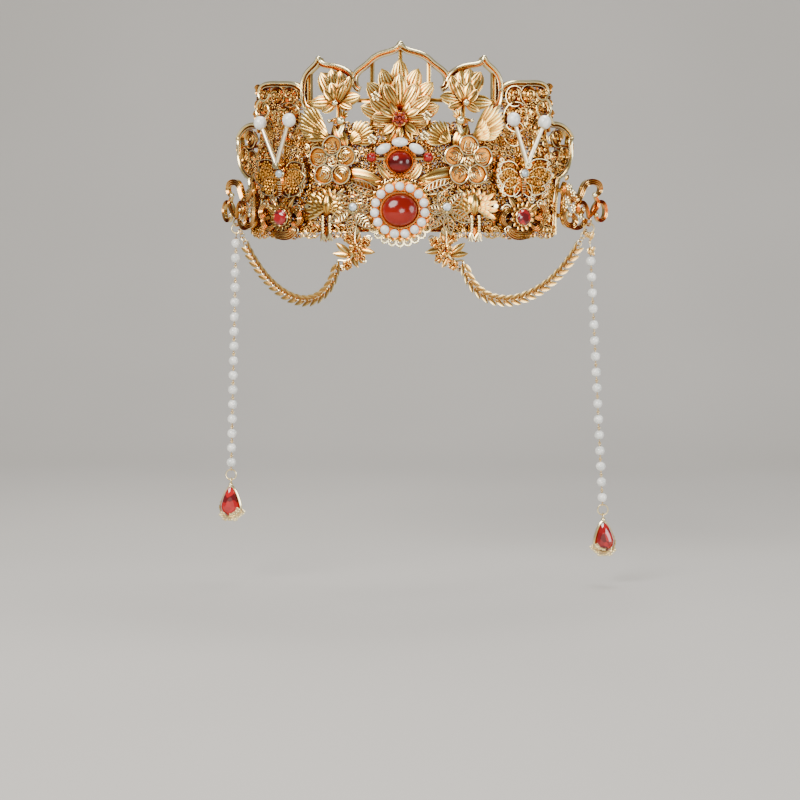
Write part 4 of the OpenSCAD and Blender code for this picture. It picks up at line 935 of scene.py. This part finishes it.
# Side settings: a red stone in petals with fluted leaf ribbons
def makeSideSettings():
    work = newShape()
    base = onCrown(places["side"], sheet["backOut"])
    stamp(work, postMesh(5.4, 5.2, 0.9, 28), base @ moved(0, 0, 0.05), 1)
    for k in range(14):
        stamp(work, leafMesh(3.4, 2.2, 1, 0.2, 0.4, 0.5, 0.3, 0.5, 5), base @ turned(360 / 14 * k) @ moved(0, 3.6, 1.0), 0)
    stamp(work, ringMesh(4.15, 0.36, 28, 6), base @ moved(0, 0, 1.7), 0)
    for k in range(8):
        stamp(work, grainMesh(0.45), base @ turned(45 * k) @ moved(0, 4.0, 2.3), 0)
    ribbons = [
        [(-4, -4), (-9, -8), (-3, -9.4), (6, -7)], [(-6, -2), (-12, -7), (-5, -11), (4, -9)], [(5, -4), (9, -8), (13, -3), (10, 2)],
        [(7, 0), (13, -2), (14, 5), (9, 6)], [(-6, 3), (-13, 4), (-14, -3), (-9, -4)]]
    for k, c in enumerate(ribbons):
        path = bezier(c, 14)
        sweep(work, [(p.x, p.y, 0.2 + 0.12 * k) for p in path], flutedProfile(2.6, 0.0, 1.3, 3, 0.4), scale=lambda t: 0.55 + 0.6 * math.sin(math.pi * t), place=base)
    for centre, radius, hand in (((-9.6, 3.4), 2.6, 1), ((10.2, 6.6), 2.6, -1), ((-8.6, -6.2), 2.0, 1), ((5.2, 8.2), 2.2, 1)):
        wire(work, base, spiral(centre, radius, 1.5, 20, 0.5, 0.78, hand), 0.42, 6, 0, lift=1.0)
        grains(work, base, [centre], 0.7, 1.2, 0)
    fan(work, base, [(62, 9, 3), (40, 9.4, 3), (-34, 9, 3), (-58, 10, 3.2)], 0.3, 2, arch=0.5, curl=0.4, base=3.0)
    stamp(work, postMesh(1.1, 1.1, 2.4), onCrown((58, 7), 1.0))
    finishPair(work, "sideSetting", [wireGold, shadedGold], ["side_setting"])
    stone = newShape()
    stamp(stone, cutMesh(7.5, 2.7, 0.56, 12), base @ moved(0, 0, 1.3))
    finishPair(stone, "sideStone", [rubyGlass], ["side_stone"], 5)


# Leaf sprigs with a crystal, and the vine sprays below the rim
def veinedLeaf(work, place, length, width, finish=0):
    edge = [(width / 2 * math.sin(math.pi * t ** 0.9), length * t) for t in spread(0, 1, 12)]
    sweep(work, [(x, y, 0.4) for x, y in edge + [(-x, y) for x, y in edge[-2:0:-1]]], roundProfile(0.34, 6), closed=True, place=place, finish=finish)
    wire(work, place, [(0, 0.2), (0.1, length / 2), (0, length - 0.2)], 0.28, 6, finish, lift=0.4)
    count = max(3, int(length / 1.7))
    for k in range(count):
        y = length * (k + 0.8) / (count + 1)
        reach = width / 2 * math.sin(math.pi * min(1.0, (y + 1.0) / length) ** 0.9)
        for lean in (1, -1):
            wire(work, place, [(0, y), (lean * reach * 0.6, y + 0.7), (lean * reach * 0.97, y + 1.1)], 0.2, 5, finish, lift=0.4)


def makeSprigs():
    work = newShape()
    base = onCrown(places["sprig"], sheet["backOut"] + 3.9)
    for x, y, angle, length, width in ((0, -1, 24, 9.6, 4.6), (-1, -1, 136, 10.2, 5.2), (2, 0, -120, 10.8, 5.2), (1, 1, -42, 9.6, 4.4), (-1, 0, 84, 8.6, 4.2), (0, -2, -168, 9.2, 4.6)):
        veinedLeaf(work, base @ moved(x, y, 0.05) @ turned(angle), length, width)
    stamp(work, postMesh(3.0, 2.7, 0.8), base @ moved(0, 0.8, 0), 0)
    stamp(work, ringMesh(2.35, 0.4, 20, 6), base @ moved(0, 1.5, 1.0), 0)
    for k in range(8):
        stamp(work, grainMesh(0.45), base @ moved(0, 1.5, 1.3) @ turned(45 * k) @ moved(2.3, 0, 0), 0)
    stamp(work, postMesh(1.1, 1.1, 5.4), onCrown((21, 12), 1.0))
    finishPair(work, "leafSprig", [wireGold], ["leaf_sprig"])


def makeSprays():
    work = newShape()
    base = onCrown(places["spray"], sheet["backOut"])
    stem = bezier([(0, 9.5), (1.4, 4), (-1, 0), (2.6, -4.4)], 14)
    wire(work, base, stem, 0.6, 8, 0, lift=0.6)
    wire(work, base, bezier([(2.6, -4.4), (4.6, -6.4), (6.8, -4.8), (8.6, -5.3)], 8), 0.45, 7, 0, lift=0.6)
    for x, y, angle, length, width in ((2, -3, -52, 9.5, 3.6), (2, -3, -84, 9, 3.4), (2, -3, -150, 6.8, 3), (2, -3, 150, 6.4, 3), (0, 0, 60, 9, 3.6), (0, 0, 100, 9.5, 3.6), (0, 2, 20, 6, 3), (0, 0, -32, 9, 3.4)):
        leafMade = leafMesh(length, width, 2, 0.22, 0.4, 0.5, 0.3, 0.5, 7)
        stamp(work, leafMade, base @ moved(x, y, 0.35) @ turned(angle), 0)
    for x, y, share in ((0, -0.5, 1.0), (-4.4, 3.0, 0.8), (3.4, 5.0, 0.75), (4.0, -7.4, 0.7), (-2.6, -4.2, 0.65)):
        for ring, (count, radius, size, lift) in enumerate(((6, 2.4, 2.8, 0.5), (5, 1.4, 2.3, 1.1), (3, 0.5, 1.7, 1.6))):
            for k in range(count):
                petal = leafMesh(size * 1.1, size, 1, 0.1, 0.7, 0.7, 0.3, 0.6, 5, 0.5)
                stamp(work, petal, base @ moved(x, y, lift) @ Matrix.Scale(share, 4) @ turned(360 / count * k + 25 * ring) @ moved(0, radius * 0.25, 0), 0)
    for x, y in ((-6.4, 4.6), (4.2, 4.0), (-3.6, -5.6), (6.6, -9.2)):
        wire(work, base, spiral((x, y), 1.7, 1.3, 14, 0.4), 0.3, 5, 0, lift=0.7)
        stamp(work, grainMesh(0.6), base @ moved(x, y, 0.8), 0)
    stamp(work, postMesh(2.0, 1.8, 0.9), base @ moved(0, 8.4, 0.05), 0)
    eye = base @ moved(8.6, -6.6, 0.5) @ turned(90, "Y")
    stamp(work, ringMesh(1.15, 0.4, 20, 8), eye, 0)
    stamp(work, postMesh(1.1, 1.1, 1.4), onCrown((20, 1.5), 1.7))
    finishPair(work, "roseSpray", [wireGold], ["rose_spray"])


# End scrolls
finials = {
    "start": {"r": 49, "l": 44}, "yaw": {"r": 36, "l": 48}, "radius": 99.0, "eye": (17, 4.9),
    "ribbons": [
        ([[(1.6, 23.8), (2, 17.5), (9, 12.6), (11, 17.2)], [(11, 17.2), (13, 21.6), (13.4, 24), (18, 24.3)],
          [(18, 24.3), (25.6, 24.6), (24.6, 18.8), (20.4, 17.6)]], 3.4),
        ([[(20.4, 17.6), (24.4, 13), (19.6, 10.5), (16.6, 7.1)]], 2.2),
        ([[(18.2, 8.6), (20, 17.4), (27.6, 16.4), (26.6, 9.5)], [(26.6, 9.5), (25.8, 4.2), (20.6, 5.4), (21.4, 8.8)]], 2.2),
        ([[(16.6, 7.1), (16, 15.8), (9.6, 15.9), (9.4, 12)], [(9.4, 12), (9.2, 8.1), (13.4, 8.3), (13, 11.3)]], 2.2),
        ([[(1, 17.2), (0.6, 11), (-0.4, 4.2), (4, 3.4)], [(4, 3.4), (9.4, 2.6), (9.6, 8.4), (5, 8.4)]], 3.0),
        ([[(4, 3.4), (7.5, 1.2), (12.2, 1.6), (15, 6.6)]], 2.4),
        ([[(1.6, 23.8), (0.3, 21.4), (0.2, 19.4), (1, 17.2)]], 2.2)]}


def atFinial(letter):
    a = math.radians(finials["start"][letter])
    r = finials["radius"]
    return (moved(r * math.sin(a), sheet["radius"] - sheet["inner"] - r * math.cos(a), 0) @ turned(finials["yaw"][letter]) @ turned(90, "X"))


def makeFinials():
    for letter, flipped in sides:
        work = newShape()
        base = atFinial(letter)
        for k, (curves, width) in enumerate(finials["ribbons"]):
            path = joined(curves, 10)
            sweep(work, [(p.x, p.y, 0.02 * k) for p in path], flutedProfile(width * 0.8, 0.0, 1.9, 3, 0.5),
                  scale=lambda t: 0.72 + 0.36 * math.sin(math.pi * t), place=base)
        for x, y in ((2.0, 24.4), (4.6, 19.8), (0.6, 9.4), (6.6, 14.0)):
            stamp(work, leafMesh(3.4, 2.2, 1, 0.2, 0.5, 0.3, 0.35, 0.5, 5), base @ moved(x, y, 1.1) @ turned(-70 + 20 * x), 0)
        for x, y in ((4.4, 21.4), (6.8, 18.6), (3.6, 15.4), (7.2, 11.6), (9.0, 15.6), (2.2, 11.8), (11.2, 8.6)):
            smallFlower(work, base @ moved(x, y, 0.9), 2.0)
            wire(work, base, spiral((x + 1.2, y - 1.6), 1.6, 1.2, 12, x), 0.34, 5, 0, lift=0.8)
        for x, y in ((20.2, 18.0), (13, 11.0), (5.0, 8.4), (21.2, 8.6)):
            stamp(work, ballMesh(1.3, 14), base @ moved(x, y, 1.0), 0)
        for y in (8, 20):
            stamp(work, postMesh(2.6, 2.4, 1.2), base @ moved(2.4, y, 0.0), 0)
        x, y = finials["eye"]
        stamp(work, ringMesh(1.7, 0.45, 24, 8), base @ moved(x, y, 0.75) @ turned(90, "Y"), 0)
        for z in (8, 20):
            stamp(work, postMesh(1.1, 1.1, 2.5), onCrown((arches["lugs"][letter], z), 2.4))
        finishPiece(work, f"finial_{letter}", [wireGold], [f"finial_{letter}"], flipped)


# Strands: pins, pearls and drops hang in one frame under the finial's eye
strand = {
    "lean": {"r": 3.3, "l": 1.7}, "extra": {"r": 9.4, "l": 0.8}, "pitch": {"r": 7.65, "l": 7.1}, "count": 16, "pearl": 4.8,
    "jump": (2.3, 0.42), "loop": (0.55, 0.2), "top": (1.05, 0.2), "last": (0.75, 0.2), "ring": (2.5, 0.35), "bail": (1.25, 0.35),
    "eye": (1.7, 0.45), "gap": 0.12, "dropWide": 9.0, "dropHigh": 14.0}


def hang(a, b):
    return a[0] + b[0] - a[1] - b[1] - strand["gap"]


def strandHeights(letter):
    z = {"jump": 0.15 - hang(strand["eye"], strand["jump"])}
    z["firstLoop"] = z["jump"] - hang(strand["jump"], strand["top"])
    z["first"] = z["firstLoop"] - 1.05 - 0.2 - strand["pearl"] / 2 - 0.1 - strand["extra"][letter]
    z["last"] = z["first"] - (strand["count"] - 1) * strand["pitch"][letter]
    z["lastLoop"] = z["last"] - (strand["pearl"] / 2 + 0.75 + 0.2 + 0.1)
    z["ring"] = z["lastLoop"] - hang(strand["last"], strand["ring"])
    z["bail"] = z["ring"] - hang(strand["ring"], strand["bail"])
    z["drop"] = z["bail"] - 1.25 - 1.9 - strand["dropHigh"] + strand["dropWide"] / 2
    return z


def atStrand(letter):
    x, y = finials["eye"]
    return (atFinial(letter) @ moved(x, y, 0.75) @ turned(-90, "X") @ turned(-finials["yaw"][letter])
            @ turned(-strand["lean"][letter], "Y"))


def faceLoop(work, base, z, ring, parts=18):
    stamp(work, ringMesh(ring[0], ring[1], parts, 7), base @ moved(0, 0, z) @ turned(90, "X"))


def edgeLoop(work, base, z, ring, parts=18):
    stamp(work, ringMesh(ring[0], ring[1], parts, 7), base @ moved(0, 0, z) @ turned(90, "Y"))


def dropOutline(width, high, steps=24):
    outline = []
    for k in range(steps):
        a = 2 * math.pi * k / steps - math.pi / 2
        c, s = math.cos(a), math.sin(a)
        outline.append((width / 2 * c * (1 - 0.34 * max(0, s)), width / 2 * s if s < 0 else (high - width / 2) * s))
    return outline


@fromShelf
def dropStoneMesh(width, high):
    # pear cut: table, crown facets, girdle and pavilion
    shape = newShape()
    rows = ((0.5, 1.95), (0.78, 1.35), (1.0, 0.3), (1.0, -0.3), (0.35, -2.0))
    bmesh.ops.create_circle(shape, cap_ends=True, segments=16, radius=1)
    outline = dropOutline(width, high, 16)
    ordered = sorted(shape.verts[:], key=lambda v: math.atan2(v.co.y, v.co.x))
    wanted = sorted(outline, key=lambda p: math.atan2(p[1], p[0]))
    for v, (x, y) in zip(ordered, wanted):
        v.co = (x * rows[0][0], y * rows[0][0], rows[0][1])
    edge = shape.edges[:]
    share = rows[0][0]
    for k, (size, z) in enumerate(rows[1:]):
        made = bmesh.ops.extrude_edge_only(shape, edges=edge)["geom"]
        verts = [g for g in made if isinstance(g, bmesh.types.BMVert)]
        edge = [g for g in made if isinstance(g, bmesh.types.BMEdge) and all(v in verts for v in g.verts)]
        for v in verts:
            v.co = (v.co.x * size / share, v.co.y * size / share, z)
        share = size
    bmesh.ops.contextual_create(shape, geom=edge)
    bmesh.ops.triangulate(shape, faces=[f for f in shape.faces if len(f.verts) == 4])
    bmesh.ops.recalc_face_normals(shape, faces=shape.faces[:])
    return keepMesh(shape, "pear cut")


def makeStrands():
    for letter, flipped in sides:
        base, z = atStrand(letter), strandHeights(letter)
        pins, pearls = newShape(), newShape()
        faceLoop(pins, base, z["jump"], strand["jump"], 28)
        half = (strand["pitch"][letter] - hang(strand["loop"], strand["loop"])) / 2
        pick = random.Random(5)
        for k in range(strand["count"]):
            at = z["first"] - k * strand["pitch"][letter]
            first, last = k == 0, k == strand["count"] - 1
            top = z["firstLoop"] - 1.05 if first else at + half - 0.55
            low = z["lastLoop"] + 0.75 if last else at - half + 0.55
            stamp(pins, postMesh(0.17, 0.17, top - low + 0.12, 8), base @ moved(0, 0, low - 0.06))
            if first:
                edgeLoop(pins, base, z["firstLoop"], strand["top"])
            else:
                faceLoop(pins, base, at + half, strand["loop"], 12)
            edgeLoop(pins, base, z["lastLoop"] if last else at - half, strand["last"] if last else strand["loop"], 12)
            for y in (2.3, -2.3):
                stamp(pins, postMesh(0.55, 0.32, 0.35, 10), base @ moved(0, 0, at + y) @ turned(0 if y > 0 else 180, "X"))
            stamp(pearls, ballMesh(2.4, 28), base @ moved(0, 0, at) @ turned(pick.uniform(0, 360)) @ Matrix.Diagonal((pick.uniform(0.97, 1), pick.uniform(0.97, 1), 0.98, 1)))
        if letter == "r":  # two leaf links above the first pearl
            for y, turn, size in ((-4.2, 38, 4.6), (-5.4, -26, 4.8), (-9.6, -150, 3.6), (-8.4, 160, 3.4), (-11.2, -36, 3.8)):
                stamp(pins, leafMesh(size, 2.0, 1, 0.2, 0.4, 0.4, 0.3, 0.5, 6), base @ moved(0, -0.5, z["firstLoop"] + 2.0 + y) @ turned(90, "X") @ turned(turn))
            for y in (-4.0, -7.0, -9.5):
                stamp(pins, ballMesh(0.75, 12), base @ moved(0, 0, z["firstLoop"] + y))
        else:
            for k in range(5):
                stamp(pins, leafMesh(1.9, 1.4, 1, 0.1, 0.3, 0.0, 0.25, 0.5, 4), base @ moved(0, 0, z["first"] + 3.0) @ turned(72 * k) @ moved(0, 0.2, 0) @ turned(-130, "X"))
        faceLoop(pins, base, z["ring"], strand["ring"], 28)
        finishPiece(pins, f"strandPins_{letter}", [chainGold], [f"strand_pins_{letter}"], flipped)
        finishPiece(pearls, f"strandPearls_{letter}", [pearlWhite], [f"strand_pearls_{letter}"], flipped, 80)

        setting, stone = newShape(), newShape()
        edgeLoop(setting, base, z["bail"], strand["bail"], 22)
        stamp(setting, ballMesh(1.1, 16), base @ moved(0, 0, z["bail"] - 1.95))
        face = base @ moved(0, 0, z["drop"]) @ turned(90, "X")
        outline = dropOutline(strand["dropWide"] + 1.15, strand["dropHigh"] + 1.1, 36)
        bar = outline[17:] + outline[:3]  # the side with the bright bar
        sweep(setting, [(x, y, 0.1) for x, y in bar], [(0.7 * math.cos(a), 1.05 * math.sin(a), 0) for a in spread(0, 2 * math.pi, 8)],
              scale=lambda t: 0.75 + 0.3 * math.sin(math.pi * t), place=face)
        wire(setting, face, [(x, y) for x, y in outline[13:19]], 0.32, 6, 0, lift=0.5)
        wire(setting, face, [(x, y) for x, y in outline[:14]], 0.24, 6, 0, lift=-0.6)
        line = [outline[i] for i in range(0, 11)]
        for k, (x, y) in enumerate(line):
            stamp(setting, grainMesh(0.72 - 0.02 * k, 1), face @ moved(x * 1.04, y * 1.04, 0.3))
        for k in range(-3, 3):
            spot = face @ turned(22 * k) @ moved(0, -strand["dropWide"] / 2 - 1.4 - 0.5 * (k % 2), 0.2)
            smallFlower(setting, spot, 1.6)
            stamp(setting, grainMesh(0.5), spot @ moved(1.0, 0.6, 0.4))
        for x, y in ((-2.6, -2.9), (-0.6, -3.4), (-3.6, -1.6)):
            smallFlower(setting, face @ moved(x, y, 1.0), 1.25)
        finishPiece(setting, f"dropSetting_{letter}", [wireGold], [f"drop_setting_{letter}"], flipped)
        stamp(stone, dropStoneMesh(strand["dropWide"], strand["dropHigh"]), face)
        finishPiece(stone, f"dropStone_{letter}", [rubyGlass], [f"drop_stone_{letter}"], flipped, 5)


# Leaf chains: from the jump ring to the eye of the spray
chain = {"pitch": 2.2, "wire": 0.25, "hold": (-1.85, -1.37), "plain": 4, "samples": 120}


def makeChains():
    a = places["spray"][0] / sheet["radius"]
    r = sheet["radius"] + sheet["backOut"] + 0.5
    shift = sheet["radius"] - sheet["inner"]
    inner = Vector((r * math.sin(a) + 8.6 * math.cos(a), shift - r * math.cos(a) + 8.6 * math.sin(a), -7.8 - 6.6))
    for letter, flipped in sides:
        b = math.radians(finials["start"][letter])
        y = math.radians(finials["yaw"][letter])
        u, v = finials["eye"]
        rr = finials["radius"]
        outer = Vector((rr * math.sin(b) + u * math.cos(y) + 0.75 * math.sin(y) + chain["hold"][0],
                        shift - rr * math.cos(b) + u * math.sin(y) - 0.75 * math.cos(y)))
        flat = Vector((outer.x - inner.x, outer.y - inner.y))
        span = flat.length
        jump = 0.15 - hang(strand["eye"], strand["jump"])
        rise = v + jump + chain["hold"][1] - 0.25 - inner.z
        curve = [(0.2, -1.55), (span * 0.12, -27), (span - 20, rise - 37), (span - 0.15, rise)]
        points = bezier(curve, chain["samples"])
        way = [0.0]
        for p, q in zip(points, points[1:]):
            way.append(way[-1] + (q - p).length)
        n = 2 * round(way[-1] / chain["pitch"] / 2 - 1e-9) + 1
        pitch = way[-1] / n
        radius = pitch / 2 + chain["wire"] + strand["gap"] / 2
        base = Matrix.Translation(inner) @ turned(math.degrees(math.atan2(flat.y, flat.x))) @ turned(90, "X")
        work = newShape()
        for k in range(n + 1):
            target = k * pitch
            j = max(i for i in range(len(way)) if way[i] <= target + 1e-6)
            j = min(j, len(points) - 2)
            share = (target - way[j]) / max(1e-9, way[j + 1] - way[j])
            p = points[j].lerp(points[j + 1], min(1, share))
            ahead, behind = points[min(len(points) - 1, j + 2)], points[max(0, j - 1)]
            d = ahead - behind
            link = base @ moved(p.x, p.y) @ turned(math.degrees(math.atan2(d.y, d.x)))
            leafy = k < n - chain["plain"]
            if k % 2:
                stamp(work, ringMesh(radius, chain["wire"], 14, 6), link @ turned(90, "X"))
            else:
                stamp(work, ringMesh(radius, chain["wire"], 14, 6), link)
                if leafy:
                    for side in (1, -1):
                        leaf = leafMesh(5.6, 2.3, 1, 0.12, 0.3, 0.2, 0.35, 0.42, 7, 0.7)
                        stamp(work, leaf, link @ moved(-1.2, side * 0.25, 0.3) @ turned(side * 14, "X") @ turned(-90 + side * 27))
                    stamp(work, grainMesh(0.55), link @ moved(-0.6, 0, 0.6))
        finishPiece(work, f"leafChain_{letter}", [chainGold], [f"leaf_chain_{letter}"], flipped)


def makeStage():
    shape = newShape()
    bend = [(-3.0, 0.0), (0.5, 0.0)] + [(0.5 + 0.5 * math.sin(a), 0.5 - 0.5 * math.cos(a)) for a in spread(0.1, math.pi / 2, 14)] + [(1.0, 2.5)]
    rows = [[shape.verts.new((x, y, -0.172 + z)) for x in (-3, 3)] for y, z in bend]
    for a, b in zip(rows, rows[1:]):
        shape.faces.new((a[0], a[1], b[1], b[0]))
    mesh = keepMesh(shape, "floor")
    mesh.shade_smooth()
    mesh.materials.append(makeFloorMaterial())
    floor = bpy.data.objects.new("floor", mesh)
    bpy.context.scene.collection.objects.link(floor)


def makeLight():
    world = bpy.data.worlds.new("studio")
    bpy.context.scene.world = world
    world.use_nodes = True
    world.node_tree.nodes["Background"].inputs["Color"].default_value = linearColour("#d6d8db")
    world.node_tree.nodes["Background"].inputs["Strength"].default_value = 0.42
    areaLight("key", (-0.55, -0.85, 0.62), (0, -0.02, 0.02), 0.75, 22.0, (1, 0.98, 0.95))
    areaLight("fill", (0.85, -0.6, 0.1), (0, 0, 0), 0.6, 7.0, (0.95, 0.97, 1))
    areaLight("top", (0.1, 0.1, 0.8), (0, 0, 0.02), 0.5, 8.0, (1, 1, 1))
    areaLight("front", (0.12, -1.1, -0.02), (0, 0, 0.02), 0.35, 3.5, (1, 0.97, 0.92))


makeCamera()
makeLight()
makeStage()
makeFrame()
makeFiligree()
makeLotus()
makeBuds()
makePhoenixes()
makeLowerBirds()
makePlumFlowers()
makeButterflies()
makePlaque()
makeSmallSetting()
makeCrystals()
makeSideSettings()
makeSprigs()
makeSprays()
makeFinials()
makeStrands()
makeChains()
